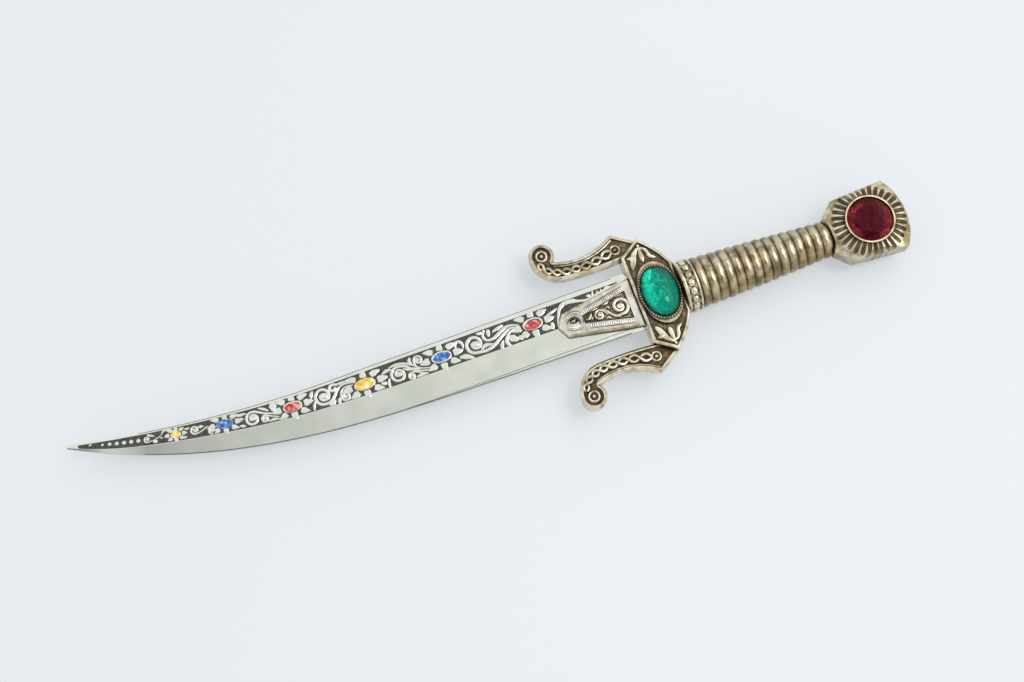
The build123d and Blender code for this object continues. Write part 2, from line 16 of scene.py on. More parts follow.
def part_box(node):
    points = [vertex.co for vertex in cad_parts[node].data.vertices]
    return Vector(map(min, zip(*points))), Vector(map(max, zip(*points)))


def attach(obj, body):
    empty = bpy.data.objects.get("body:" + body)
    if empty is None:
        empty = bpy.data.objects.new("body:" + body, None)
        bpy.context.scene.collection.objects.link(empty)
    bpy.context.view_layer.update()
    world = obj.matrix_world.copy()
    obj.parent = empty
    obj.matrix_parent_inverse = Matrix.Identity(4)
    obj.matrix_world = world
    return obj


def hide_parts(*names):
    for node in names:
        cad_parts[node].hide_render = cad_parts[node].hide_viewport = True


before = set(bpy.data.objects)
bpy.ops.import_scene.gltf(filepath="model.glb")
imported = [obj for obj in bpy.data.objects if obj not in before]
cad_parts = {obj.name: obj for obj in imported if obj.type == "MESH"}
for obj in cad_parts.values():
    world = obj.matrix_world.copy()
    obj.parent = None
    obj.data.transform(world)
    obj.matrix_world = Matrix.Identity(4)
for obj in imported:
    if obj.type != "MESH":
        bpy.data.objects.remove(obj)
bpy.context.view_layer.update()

MM = 0.001
print("pieces:", len(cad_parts))

# %% [markdown]
# Every place below is told as a maker would tell it: so many millimetres towards the pommel
# from the middle of the green stone, so many across, and so many over the middle of the grip.
# The two zero lines are read from the stone and the grip, so nothing has to be fitted by eye.

# %% The zero lines
stone_low, stone_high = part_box("cabochon")
grip_low, grip_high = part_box("grip")
guard_x = (stone_low.x + stone_high.x) / 2
axis_z = (grip_low.z + grip_high.z) / 2


def at(place, across, height):
    """A point of the opener in metres, from millimetres along, across and over its middle."""
    return Vector((guard_x + place * MM, across * MM, axis_z + height * MM))


def top_of(node):
    """The height of a piece's upper face over the middle of the grip, in millimetres."""
    return (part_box(node)[1].z - axis_z) / MM


for name in ("blade", "etched_ground_front", "langet_front", "crossguard", "guard_shell_front", "cabochon_bezel"):
    print(name, "top", round(top_of(name), 2))

# %% [markdown]
# One function turns a colour from its hex value into the linear numbers that Blender uses, one adds a node
# with its settings and its links, and one starts a finish. All trees below, for finishes and for shapes,
# are built with these, so that each tree reads as a list of its nodes.

# %% Colours and nodes
def colour(code):
    """An sRGB hex colour as linear red, green, blue and full cover."""
    parts = [int(code[i:i + 2], 16) / 255 for i in (1, 3, 5)]
    return [c / 12.92 if c <= 0.04045 else ((c + 0.055) / 1.055) ** 2.4 for c in parts] + [1.0]


def give(node, inputs):
    """Fill a node's inputs: a value is set, an output is linked, and a node stands for its first output."""
    for socket, value in inputs.items():
        if isinstance(value, bpy.types.Node):
            value = value.outputs[0]
        if isinstance(value, bpy.types.NodeSocket):
            node.id_data.links.new(value, node.inputs[socket])
        else:
            node.inputs[socket].default_value = value


def add(tree, kind, inputs=None, stops=(), **settings):
    """Add one node. A kind without the word Node is a shader node, and a second word is its operation; inputs are
    what give() takes, stops fill a ramp, and settings are the node's own options."""
    kind, _, operation = kind.partition(" ")
    node = tree.nodes.new(kind if "Node" in kind else "ShaderNode" + kind)
    if operation:
        node.operation = operation
    for name, value in settings.items():
        setattr(node, name, value)
    give(node, inputs or {})
    for index, (position, shade) in enumerate(stops):
        ramp = node.color_ramp.elements
        stop = ramp[index] if index < 2 else ramp.new(position)
        stop.position = position
        stop.color = colour(shade)
    return node


def finish_of(name, **sockets):
    """A new material with its shader's plain sockets set; gives it, its tree, its shader and Object coordinates."""
    material = bpy.data.materials.new(name)
    material.use_nodes = True
    tree = material.node_tree
    shader = tree.nodes["Principled BSDF"]
    give(shader, {socket.replace("_", " "): value for socket, value in sockets.items()})
    print("finish:", name)
    return material, tree, shader, add(tree, "TexCoord").outputs["Object"]


print("white in linear light:", colour("#ffffff"))

# %% [markdown]
# ## Finishes
# The blade is polished steel. What the eye sees is a mirror with fine lines left along its length
# by the polishing wheel, about a quarter of a millimetre apart, and faint stains some 6 mm wide.
# A noise stretched along the blade moves the roughness and a very small bump. Faces that stand upright, such as the
# sheared edge all round the blade, are coloured dark as a painted shade.

# %% Polished steel of the blade
blade_steel, tree, shader, place = finish_of("Polished_steel", Metallic=1.0)
lengthwise = add(tree, "Mapping", {"Vector": place, "Scale": (1 / (16 * MM), 1 / (0.25 * MM), 1 / (0.25 * MM))})
lines = add(tree, "TexNoise", {"Vector": lengthwise, "Scale": 1.0, "Detail": 3.0})
stains = add(tree, "TexNoise", {"Vector": place, "Scale": 1 / (6 * MM), "Detail": 4.0})
stain_tone = add(tree, "ValToRGB", {"Fac": stains}, ((0.35, "#dee0d3"), (0.65, "#eaebe0")))
steel_facing = add(tree, "SeparateXYZ", {0: add(tree, "NewGeometry").outputs["Normal"]})
level_for_edge_shade = add(tree, "Math ABSOLUTE", {0: steel_facing.outputs["Z"]})
# The dark colour goes on upright faces: a painted shade along the edge of the blade.
stain_and_edge_shade_tone = add(tree, "Mix", {0: level_for_edge_shade, 6: colour("#4a4a46"), 7: stain_tone}, data_type="RGBA")
steel_rough = add(tree, "MapRange",
                  {"Value": lines, "From Min": 0.3, "From Max": 0.7, "To Min": 0.12, "To Max": 0.17})
steel_bump = add(tree, "Bump", {"Height": lines, "Strength": 0.03, "Distance": 0.02 * MM})
give(shader, {"Base Color": stain_and_edge_shade_tone.outputs[2], "Roughness": steel_rough, "Normal": steel_bump})

# %% [markdown]
# The etched band is filled with black, a matt lacquer with a slightly uneven surface and dust in it
# that makes cloudy spots of about 0.7 mm.

# %% Black fill of the etched band
black_ground, tree, shader, place = finish_of("Black_lacquer_fill")
dust = add(tree, "TexNoise", {"Vector": place, "Scale": 1 / (0.7 * MM), "Detail": 4.0})
fill_tone = add(tree, "ValToRGB", {"Fac": dust}, ((0.35, "#2b2c28"), (0.7, "#4d4e47")))
fill_rough = add(tree, "MapRange", {"Value": dust, "To Min": 0.5, "To Max": 0.8})
fill_bump = add(tree, "Bump", {"Height": dust, "Strength": 0.4, "Distance": 0.05 * MM})
give(shader, {"Base Color": fill_tone, "Roughness": fill_rough, "Normal": fill_bump})

# %% [markdown]
# The hearts of the flowers are drops of enamel paint: glossy, and mottled in spots of about 1.1 mm where the
# colour pooled or ran thin. The three differ only in colour, so they are made in one loop.

# %% Enamel of the hearts
enamels = {}
for slot_name, deep, fresh, pale in (("enamel_red", "#9c231b", "#c4473b", "#e0a79b"),
                                     ("enamel_blue", "#234f92", "#4b80bd", "#a5c3de"),
                                     ("enamel_yellow", "#d0a533", "#edcb60", "#f6e7b4")):
    enamel, tree, shader, place = finish_of(slot_name.replace("enamel_", "Enamel_"), Roughness=0.3)
    pooled = add(tree, "TexNoise", {"Vector": place, "Scale": 1 / (1.1 * MM), "Detail": 3.0})
    enamel_tone = add(tree, "ValToRGB", {"Fac": pooled}, ((0.38, deep), (0.68, pale), (0.52, fresh)))
    drop_bump = add(tree, "Bump", {"Height": pooled, "Strength": 0.25, "Distance": 0.1 * MM})
    give(shader, {"Base Color": enamel_tone, "Normal": drop_bump})
    enamels[slot_name] = enamel

# %% [markdown]
# The hilt is cast zinc plated in antique gold, and the tongue on the blade the same in silver.
# Such plating is dipped in a dark patina, rubbed bright again and sealed with a thin clear lacquer, so all that
# stands up is bare metal, the hollows stay brown, and the whole has a wet gloss. Ambient Occlusion finds the
# hollows, a noise of 2.4 mm breaks up the border, one of 5 mm lets the copper under the gold through, and one of
# 0.4 mm gives the skin of the casting. Floors that lie below a given height stay dark and stippled, the tongue's
# silver is worn through to gold on its upright sides, and the grip's upright sides carry a painted shade. On the
# pommel the grooves between the flutes are darkened, partly patina and partly painted shade, and its flat margin gets
# a painted shade.

# %% Antique plating of the hilt
LYING = 0.9
FLUTE_START, FLUTE_FADE, FLUTE_END = 6.5 * MM, 8.6 * MM, 9.9 * MM
# MARGIN_PAINTED_SHADE is how much painted shade the pommel's flat margin beyond the flutes gets.
MARGIN_PAINTED_SHADE = 0.13
RUBBED_BY = 0.2, 0.5, 0.78, 1.0
COPPER = "#e4cda5"


def antique_plate(name, tones, sides, reach, floor_height, warm=0.5, flutes=0):
    """Rubbed plating; sides tints upright faces, reach in mm is the widest hollow, floors below floor_height are
    dark, warm is how much copper shows in patches, and flutes is how many grooves run out from the red stone."""
    plate, tree, shader, place = finish_of("Antique_" + name, Metallic=1.0, Coat_Weight=0.6, Coat_Roughness=0.16)
    hollow = add(tree, "AmbientOcclusion", {"Distance": reach * MM}, samples=8)
    worn = add(tree, "TexNoise", {"Vector": place, "Scale": 1 / (2.4 * MM), "Detail": 6.0})
    skin = add(tree, "TexNoise", {"Vector": place, "Scale": 1 / (0.4 * MM), "Detail": 3.0})
    uneven = add(tree, "MapRange", {"Value": worn, "From Min": 0.3, "From Max": 0.7, "To Min": -0.25, "To Max": 0.12})
    rubbed = add(tree, "Math ADD", {0: hollow.outputs["AO"], 1: uneven})
    middle = add(tree, "VectorMath SUBTRACT", {0: place, 1: (0, 0, axis_z)})
    over = add(tree, "SeparateXYZ", {0: middle})
    depth = add(tree, "Math ABSOLUTE", {0: over.outputs["Z"]})
    facing = add(tree, "SeparateXYZ", {0: add(tree, "NewGeometry").outputs["Normal"]})
    level = add(tree, "Math ABSOLUTE", {0: facing.outputs["Z"]})
    lying = add(tree, "Math GREATER_THAN", {0: level, 1: LYING})
    low = add(tree, "Math LESS_THAN", {0: depth, 1: floor_height * MM})
    sunk = add(tree, "Math MULTIPLY", {0: lying, 1: low})
    stipple = add(tree, "MapRange", {"Value": skin, "From Min": 0.3, "From Max": 0.7, "To Min": 0.62, "To Max": 0.26})
    drop = add(tree, "Math MULTIPLY", {0: sunk, 1: stipple})
    bare = add(tree, "Math SUBTRACT", {0: rubbed, 1: drop})
    # On the pommel the grooves between the flutes are darkened, partly patina and partly painted shade, and flat
    # faces beyond the flutes get a painted shade.
    if flutes:
        rays = add(tree, "VectorMath SUBTRACT", {0: place, 1: red_middle})
        ray = add(tree, "SeparateXYZ", {0: rays})
        angle = add(tree, "Math ARCTAN2", {0: ray.outputs["Y"], 1: ray.outputs["X"]})
        turns = add(tree, "Math MULTIPLY", {0: angle, 1: flutes})
        wave = add(tree, "Math COSINE", {0: turns})
        flat_ray = add(tree, "CombineXYZ", {"X": ray.outputs["X"], "Y": ray.outputs["Y"]})
        away = add(tree, "VectorMath LENGTH", {0: flat_ray})
        fade = add(tree, "MapRange", {"Value": away.outputs["Value"], "From Min": FLUTE_FADE, "From Max": FLUTE_END,
                                      "To Min": 1.0, "To Max": 0.0})
        groove = add(tree, "MapRange", {"Value": wave, "From Min": -0.2, "From Max": 0.95, "To Max": 0.3})
        beyond = add(tree, "Math GREATER_THAN", {0: away.outputs["Value"], 1: FLUTE_START})
        ringed = add(tree, "Math MULTIPLY", {0: fade, 1: beyond})
        margin_painted_shade = add(tree, "Math MULTIPLY", {0: lying, 1: MARGIN_PAINTED_SHADE})
        dark = add(tree, "Mix", {0: ringed, 2: margin_painted_shade, 3: groove})
        bare = add(tree, "Math SUBTRACT", {0: bare, 1: dark})
    plain = add(tree, "ValToRGB", {"Fac": bare}, zip(RUBBED_BY, tones))
    patch = add(tree, "TexNoise", {"Vector": place, "Scale": 1 / (5 * MM), "Detail": 2.0})
    warmth = add(tree, "MapRange", {"Value": patch, "From Min": 0.4, "From Max": 0.65, "To Max": warm})
    tone = add(tree, "Mix", {0: warmth, 6: plain, 7: colour(COPPER)}, data_type="RGBA", blend_type="MULTIPLY")
    # Upright faces take the side tint: worn gold under the silver on the tongue, a painted shade on the grip.
    top_share = add(tree, "MapRange", {"Value": level, "From Min": 0.5, "From Max": 0.9})
    side_wear_and_shade_tone = add(tree, "Mix", {0: 1.0, 6: tone.outputs[2], 7: colour(sides)},
                    data_type="RGBA", blend_type="MULTIPLY")
    shown = add(tree, "Mix", {0: top_share, 6: side_wear_and_shade_tone.outputs[2], 7: tone.outputs[2]}, data_type="RGBA")
    rough = add(tree, "MapRange", {"Value": bare, "From Min": 0.3, "From Max": 1.0, "To Min": 0.45, "To Max": 0.26})
    bump = add(tree, "Bump", {"Height": skin, "Strength": 0.3, "Distance": 0.04 * MM})
    give(shader, {"Base Color": shown.outputs[2], "Roughness": rough, "Normal": bump})
    return plate


GRIP_TONES = "#20180d", "#483c25", "#827554", "#cdc4a8"
GOLD_TONES = "#2a2114", "#574a2f", "#96875f", "#dacfb0"
GUARD_TONES = "#2c2316", "#5d5139", "#9d9172", "#e3dbc4"
POMMEL_TONES = "#251d11", "#54472d", "#9b8d67", "#ece3cb"
CUP_TONES = "#2a2114", "#574a2f", "#877a58", "#c0b596"
BEAD_TONES = "#352f24", "#857f6f", "#cac7bb", "#f1efe8"
SILVER_TONES = "#241d14", "#625a49", "#aba696", "#dbd9d2"
CHANNEL_DEEP, SHELL_DEEP, PANEL_DEEP, SPARE = 0.45, 0.5, 0.4, 0.1
channel_floor = top_of("crossguard") - CHANNEL_DEEP
shell_floor = top_of("guard_shell_front") - SHELL_DEEP
panel_floor = top_of("langet_front") - PANEL_DEEP
red_low, red_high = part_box("red_stone")
red_middle = (red_low + red_high) / 2
antique_gold = antique_plate("gold_plate", GOLD_TONES, "#ffffff", 1.8, 0.0)
# On the grip the side tint is a painted shade on the upright faces of the ribs.
grip_gold = antique_plate("gold_plate_of_the_grip", GRIP_TONES, "#d2c3a0", 1.8, 0.0, warm=0.6)
ferrule_gold = antique_plate("gold_plate_of_the_ferrule", GUARD_TONES, "#ffffff", 0.65, 0.0, warm=0.3)
pommel_gold = antique_plate("gold_plate_of_the_pommel", POMMEL_TONES, "#cdcac3", 1.2, 0.0, warm=0.35, flutes=32)
guard_gold = antique_plate("gold_plate_of_the_guard", GUARD_TONES, "#ffffff", 1.0, channel_floor + SPARE)
lozenge_gold = antique_plate("gold_plate_of_the_lozenge", GUARD_TONES, "#ffffff", 1.0, shell_floor + SPARE)
langet_silver = antique_plate("silver_plate", SILVER_TONES, "#cdb682", 0.8, panel_floor + SPARE, warm=0.2)
bead_silver = antique_plate("silver_plate_of_the_beads", BEAD_TONES, "#ffffff", 0.25, 0.0, warm=0.0)
cup_gold = antique_plate("gold_plate_of_the_cup", CUP_TONES, "#ffffff", 0.5, 0.0)

# %% [markdown]
# Rod, washer and nut are hidden in the grip. They are zinc-plated steel: grey, with faint cloudy spangle.

# %% Zinc-plated steel of the rod, washer and nut
zinc_steel, tree, shader, place = finish_of("Zinc_plated_steel", Metallic=1.0)
spangle = add(tree, "TexVoronoi", {"Vector": place, "Scale": 1 / (0.8 * MM)})
zinc_tone = add(tree, "ValToRGB", {"Fac": spangle}, ((0.1, "#a9adb0"), (0.7, "#c4c8ca")))
zinc_rough = add(tree, "MapRange", {"Value": spangle, "To Min": 0.3, "To Max": 0.45})
give(shader, {"Base Color": zinc_tone, "Roughness": zinc_rough})

# %% [markdown]
# The two stones are clear coloured glass over a crumpled mirror foil, the old way to make cheap glass glitter.
# The glass colours the light, and its colour also holds painted light: each facet of the red stone is tinted lighter
# or darker by the way it faces, and the green dome is painted darker towards its rim as a painted shade. The foil
# behind it breaks the light up. Its own finish is bright tin with fine wrinkles; its larger creases are modelled
# further down.

# %% Glass of the stones and tin of the foil
stones = {}
# The green dome's tint darkens towards its rim as a painted shade.
dome_rim_shade_tints = [(0.05, "#10b698"), (0.95, "#10b698"), (0.12, "#069a80"), (0.88, "#069a80"),
              (0.2, "#002a22"), (0.8, "#002a22")]
# Each red facet is tinted by the way it faces, a painted play of light and shade.
facet_painted_light_tints = [(0.32, "#70394e"), (0.68, "#8a1d18"), (0.5, "#450c17")]
for slot_name, gleam, way, tints in (("green_glass", "#86cdbf", (0.0, 0.0, 1.0), dome_rim_shade_tints),
                                     ("red_glass", "#8c4448", (0.94, -0.33, 0.0), facet_painted_light_tints)):
    glass, tree, shader, place = finish_of(slot_name.capitalize(), Roughness=0.02, IOR=1.47,
                                           Transmission_Weight=1.0, Specular_Tint=colour(gleam))
    slope = add(tree, "VectorMath DOT_PRODUCT", {0: add(tree, "NewGeometry").outputs["True Normal"], 1: way})
    facing_light_share = add(tree, "MapRange", {"Value": slope.outputs["Value"], "From Min": -1.0})
    glass_tone_and_painted_light = add(tree, "ValToRGB", {"Fac": facing_light_share}, tints)
    cast = add(tree, "TexNoise", {"Vector": place, "Scale": 1 / (4.5 * MM), "Detail": 2.0})
    glass_bump = add(tree, "Bump", {"Height": cast, "Strength": 0.03, "Distance": 0.1 * MM})
    give(shader, {"Base Color": glass_tone_and_painted_light, "Normal": glass_bump})
    stones[slot_name] = glass
mirror_foil, tree, shader, place = finish_of("Crumpled_tin_foil", Metallic=1.0, Roughness=0.3)
wrinkle = add(tree, "TexVoronoi", {"Vector": place, "Scale": 1 / (0.65 * MM)})
foil_tone = add(tree, "ValToRGB", {"Fac": wrinkle}, ((0.0, "#e2e2de"), (0.8, "#a9aaa5")))
foil_bump = add(tree, "Bump", {"Height": wrinkle, "Strength": 0.2, "Distance": 0.08 * MM})
give(shader, {"Base Color": foil_tone, "Normal": foil_bump})

# %% [markdown]
# Each solid of the frame gets its finish in place of the plain colour it was packed with. The enamels
# already go by the names of their solids.

# %% Finishes on the solids
finishes = dict(
    enamels, blade=blade_steel, etched_ground_front=black_ground, etched_ground_back=black_ground,
    cabochon_bezel=antique_gold, grip=grip_gold, red_stone_bezel=cup_gold, ferrule=ferrule_gold,
    pommel=pommel_gold, crossguard=guard_gold, guard_shell_front=lozenge_gold, guard_shell_back=lozenge_gold,
    langet_front=langet_silver, langet_back=langet_silver, tang_rod=zinc_steel, grip_washer=zinc_steel,
    grip_nut=zinc_steel, cabochon=stones["green_glass"], red_stone=stones["red_glass"],
    cabochon_foil=mirror_foil, red_stone_foil=mirror_foil)
for node, finish in finishes.items():
    worn_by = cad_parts[node].data.materials
    worn_by.clear()
    worn_by.append(finish)
print("finished", len(finishes), "solids")

# %% [markdown]
# ## Shapes that follow a line
# Scrolls, petals, braids and milled edges all follow a line, so each is a guide curve and a tree of
# Geometry Nodes that grows the metal along it. A guide holds many lines, and each of its points carries
# the half width of the metal there. Neighbours lie a few thousandths of a millimetre higher or lower, so that
# no two faces share one level where lines cross. The result is kept as a plain mesh, because instances are
# lost in an export.

# %% Guides, trees and the meshes they leave
LEVELS = 9
LEVEL_STEP = 0.004


def show(name, data):
    """A new object of the scene, at the origin."""
    holder = bpy.data.objects.new(name, data)
    bpy.context.scene.collection.objects.link(holder)
    return holder


def guide(lines, closed):
    """A curve object of smooth lines, each a list of (point in metres, half width in metres)."""
    curve = bpy.data.curves.new("guide", "CURVE")
    curve.dimensions = "3D"
    curve.resolution_u = 5
    for index, line in enumerate(lines):
        lift = Vector((0, 0, index % LEVELS * LEVEL_STEP * MM))
        spline = curve.splines.new("BEZIER")
        spline.bezier_points.add(len(line) - 1)
        spline.use_cyclic_u = closed
        for knot, (point, half) in zip(spline.bezier_points, line):
            knot.co = point + lift
            knot.radius = half
            knot.handle_left_type = knot.handle_right_type = "AUTO"
    return show("guide", curve)


def shape_tree(name, inputs):
    """An empty tree with geometry in and out and named inputs; gives the tree and those inputs."""
    tree = bpy.data.node_groups.new(name, "GeometryNodeTree")
    tree.interface.new_socket("Geometry", in_out="INPUT", socket_type="NodeSocketGeometry")
    for label, kind in inputs.items():
        tree.interface.new_socket(label, in_out="INPUT", socket_type="NodeSocket" + kind)
    tree.interface.new_socket("Geometry", in_out="OUTPUT", socket_type="NodeSocketGeometry")
    return tree, tree.nodes.new("NodeGroupInput").outputs


def end_tree(tree, geometry, material):
    """Close a tree: real geometry, one material, out."""
    real = add(tree, "GeometryNodeRealizeInstances", {0: geometry})
    painted = add(tree, "GeometryNodeSetMaterial", {"Geometry": real, "Material": material})
    add(tree, "NodeGroupOutput", {0: painted})
    print("tree:", tree.name, len(tree.nodes), "nodes")


def grow(name, lines, tree, sizes, closed):
    """Run a tree on a guide and keep the result as a plain mesh object at the origin."""
    holder = guide(lines, closed)
    modifier = holder.modifiers.new(tree.name, "NODES")
    modifier.node_group = tree
    for item in tree.interface.items_tree:
        if item.item_type == "SOCKET" and item.in_out == "INPUT" and item.name in sizes:
            modifier[item.identifier] = sizes[item.name]
    graph = bpy.context.evaluated_depsgraph_get()
    mesh = bpy.data.meshes.new_from_object(holder.evaluated_get(graph))
    holder.modifiers.clear()
    bpy.data.objects.remove(holder)
    mesh.name = name
    return show(name, mesh)


def settle(front, back_name=None):
    """Let a piece ride on the opener, and copy it to the other face where that face has it too."""
    made = [front]
    if back_name:
        mesh = front.data.copy()
        for vertex in mesh.vertices:
            vertex.co.z = 2 * axis_z - vertex.co.z
        mesh.flip_normals()
        mesh.name = back_name
        made.append(show(back_name, mesh))
    for piece in made:
        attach(piece, "root")
        print(piece.name, len(piece.data.polygons), "faces")


def lay(name, slot_name, lines, tree, closed=False, **sizes):
    """Grow a tree along lines; open lines are laid on both faces, a closed ring goes round the green stone alone."""
    if closed:
        settle(grow(name, lines, tree, sizes, closed))
    else:
        settle(grow(name + "_front", lines, tree, sizes, closed), name + "_back")


# %% [markdown]
# A drawn line of metal is a flat ribbon with soft shoulders. The tree sweeps a round section along the guide,
# as wide as the guide says at each point, then presses it flat: nothing stands higher than Rise over the guide
# or reaches deeper than Root below it. Sides is how many corners the section has.

# %% The tree of a drawn line
ribbon, given = shape_tree("Drawn line of metal",
                           {"Rise": "Float", "Root": "Float", "Sides": "Int", "Material": "Material"})
section = add(ribbon, "GeometryNodeCurvePrimitiveCircle", {"Resolution": given["Sides"], "Radius": 1.0})
width = add(ribbon, "GeometryNodeInputRadius")
level = add(ribbon, "SeparateXYZ", {0: add(ribbon, "GeometryNodeInputPosition")})
marked = add(ribbon, "GeometryNodeCaptureAttribute", {"Geometry": given["Geometry"]}, domain="POINT")
marked.capture_items.new("FLOAT", "Level")
give(marked, {1: level.outputs["Z"]})
swept = add(ribbon, "GeometryNodeCurveToMesh",
            {"Curve": marked, "Profile Curve": section, "Scale": width, "Fill Caps": True})
spot = add(ribbon, "SeparateXYZ", {0: add(ribbon, "GeometryNodeInputPosition")})
crest = add(ribbon, "Math ADD", {0: marked.outputs[1], 1: given["Rise"]})
foot = add(ribbon, "Math SUBTRACT", {0: marked.outputs[1], 1: given["Root"]})
pressed = add(ribbon, "Math MINIMUM", {0: spot.outputs["Z"], 1: crest})
seated = add(ribbon, "Math MAXIMUM", {0: pressed, 1: foot})
flat = add(ribbon, "CombineXYZ", {"X": spot.outputs["X"], "Y": spot.outputs["Y"], "Z": seated})
moved = add(ribbon, "GeometryNodeSetPosition", {"Geometry": swept, "Position": flat})
end_tree(ribbon, moved, given["Material"])


def stroke(points, widths, height, rounded=(0, -1)):
    """A drawn line through (along, across) places in millimetres; widths are full widths, spread evenly along it."""
    line = []
    for index, (along, across) in enumerate(points):
        reach = index / (len(points) - 1) * (len(widths) - 1)
        step = min(int(reach), len(widths) - 2)
        wide = widths[step] + (widths[step + 1] - widths[step]) * (reach - step)
        line.append((at(along, across, height), wide / 2 * MM))
    for end in rounded:
        (tip, half), way = line[end], (line[end][0] - line[1 if end == 0 else -2][0]).normalized()
        caps = [(tip + way * half * 0.5, half * 0.84), (tip + way * half * 0.85, half * 0.4)]
        line = caps[::-1] + line if end == 0 else line + caps
    return line


def scroll(along, across, radius, turns, start, hand, wide, eye, stem, height):
    """A stem that curls into a scroll and ends in a round eye; start in degrees, hand +1 turns left and -1 right."""
    count = max(6, round(turns * 8))
    places = list(stem)
    for step in range(count + 1):
        turned = math.radians(start + hand * 360 * turns * step / count)
        reach = radius + (eye - radius) * (step / count) ** 1.2
        places.append((along + reach * math.cos(turned), across + reach * math.sin(turned)))
    return [stroke(places, (0.6 * wide, wide, wide, wide, 0.8 * wide), height), dot(along, across, eye, height)]


def dot(along, across, radius, height):
    """A short thick line that reads as a round grain."""
    return stroke([(along - 0.45 * radius, across), (along, across), (along + 0.45 * radius, across)],
                  (1.75 * radius, 2 * radius, 1.75 * radius), height)


def around(long, tall, half_turn):
    """Places once round an oval and back to the first, with so many steps in half a turn."""
    turns = [step * math.pi / half_turn for step in range(2 * half_turn + 1)]
    return [(long * math.cos(turn), tall * math.sin(turn)) for turn in turns]


def ring(along, across, radius, wide, height):
    """A line that runs once round a place."""
    places = [(along + x, across + y) for x, y in around(radius, radius, 8)]
    return stroke(places, (wide, wide), height, rounded=())


# %% [markdown]
# ## The etched band
# The band was etched black round a pattern that the acid left standing: six flowers with enamel hearts,
# and between them stems that curl into scrolls. The pattern stands level with the blade, and the black shows
# only as thin lines and gaps. Each flower has a rim round its heart and eight petals that fill the band's height.

# %% Flowers of the band
band_height = top_of("etched_ground_front")
petals = [
    (((3.2, 0), (4, 0), (5.6, 0)), (1.8, 2.2, 0.5)),
    (((-3.2, 0), (-4, -0.1), (-5.6, -0.3)), (1.8, 2.2, 0.4)),
    (((0, 1.8), (0.1, 2.3), (0.2, 3)), (1.7, 1.9, 1.6)),
    (((0, -1.8), (0, -2.3), (0.1, -3.2)), (1.7, 2, 1.6)),
    (((1.9, 1.75), (2.7, 2.1), (4.2, 2.5)), (1.5, 1.9, 0.6)),
    (((-1.8, 1.75), (-2.6, 2.1), (-4.1, 2.5)), (1.5, 1.9, 0.5)),
    (((-1.9, -1.7), (-2.7, -2.1), (-3.9, -2.6)), (1.5, 2, 0.6)),
    (((2, -1.7), (2.8, -2.1), (4, -2.6)), (1.5, 2, 0.7)),
]
flowers = [
    (-33, 3.5, 1, 1, 0), (-57.6, 3, 1, 0.95, 0), (-78, 2.7, 1.05, 0.95, 0),
    (-96.8, 3.2, 0.93, 0.86, -2), (-114, 4.6, 0.8, 0.66, -6), (-126.3, 6.1, 0.5, 0.5, -9),
]
rim = around(2.45, 1.35, 6)
band_lines = []
for along, across, long, tall, lean in flowers:
    cos, sin = math.cos(math.radians(lean)), math.sin(math.radians(lean))
    slim = min(1.0, tall + 0.1)
    for places, widths in [(rim, (0.5, 0.5))] + petals:
        turned = [(along + x * long * cos - y * tall * sin, across + x * long * sin + y * tall * cos)
                  for x, y in places]
        ends = () if places is rim else (-1,)
        band_lines.append(stroke(turned, [slim * wide for wide in widths], band_height, rounded=ends))
print("flower lines:", len(band_lines))

# %% Scrolls of the band
SCROLL_FULL = 1.2
scrolls = [
    (-48.6, 3.3, 2.4, 1.2, -80, -1, 0.75, 0.9,
     [(-37.2, 4), (-38.8, 4.3), (-40.2, 3.8), (-42, 2.7), (-44, 1.5), (-46, 0.8)]),
    (-63.5, 4.2, 1.15, 1.3, 195, -1, 0.5, 0.42, [(-60.9, 1.3), (-62.4, 1.6), (-63.8, 2.2), (-64.6, 3.1)]),
    (-69.2, 2.2, 2, 1.3, 80, 1, 0.65, 0.75, [(-61.4, 0.8), (-63.4, 1.2), (-65.2, 2), (-66.6, 3.4), (-67.8, 4)]),
    (-66.1, 0.7, 0.9, 1.2, 80, 1, 0.5, 0.35, [(-63.4, 0.6), (-64.8, 1.4)]),
    (-83.4, 1.3, 1.15, 1.3, 160, 1, 0.5, 0.45, [(-81, 3.5), (-82.6, 3.6), (-84, 3)]),
    (-88.8, 3.2, 2.2, 1.2, -85, -1, 0.7, 0.9, [(-81.6, 4.3), (-83.4, 4.4), (-85, 3.6), (-86.2, 2.2), (-87.4, 1.2)]),
    (-104.1, 2.45, 0.9, 1.2, 70, 1, 0.5, 0.4, [(-100.8, 1.9), (-102.2, 2.5), (-103.2, 3)]),
    (-107.1, 3.5, 1.75, 1.25, 75, 1, 0.6, 0.7, [(-100.9, 2.7), (-102.4, 3.3), (-104, 3.9), (-105.4, 4.7)]),
    (-117.5, 3.9, 0.9, 1.2, 60, 1, 0.45, 0.35, [(-116, 4.6)]),
    (-121.5, 5.6, 1.1, 1.2, -70, -1, 0.45, 0.4, [(-118.4, 5.5), (-119.6, 4.9)]),
    (-131.5, 6.1, 0.45, 1.1, 90, 1, 0.3, 0.2, [(-129.6, 7.2), (-130.6, 6.8)]),
    (-133.4, 7.2, 0.8, 1.1, -60, -1, 0.35, 0.28, [(-131.9, 6.4)]),
]
for along, across, radius, turns, start, hand, wide, eye, stem in scrolls:
    band_lines += scroll(along, across, radius, turns, start, hand, SCROLL_FULL * wide, eye, stem, band_height)
print("with scrolls:", len(band_lines))

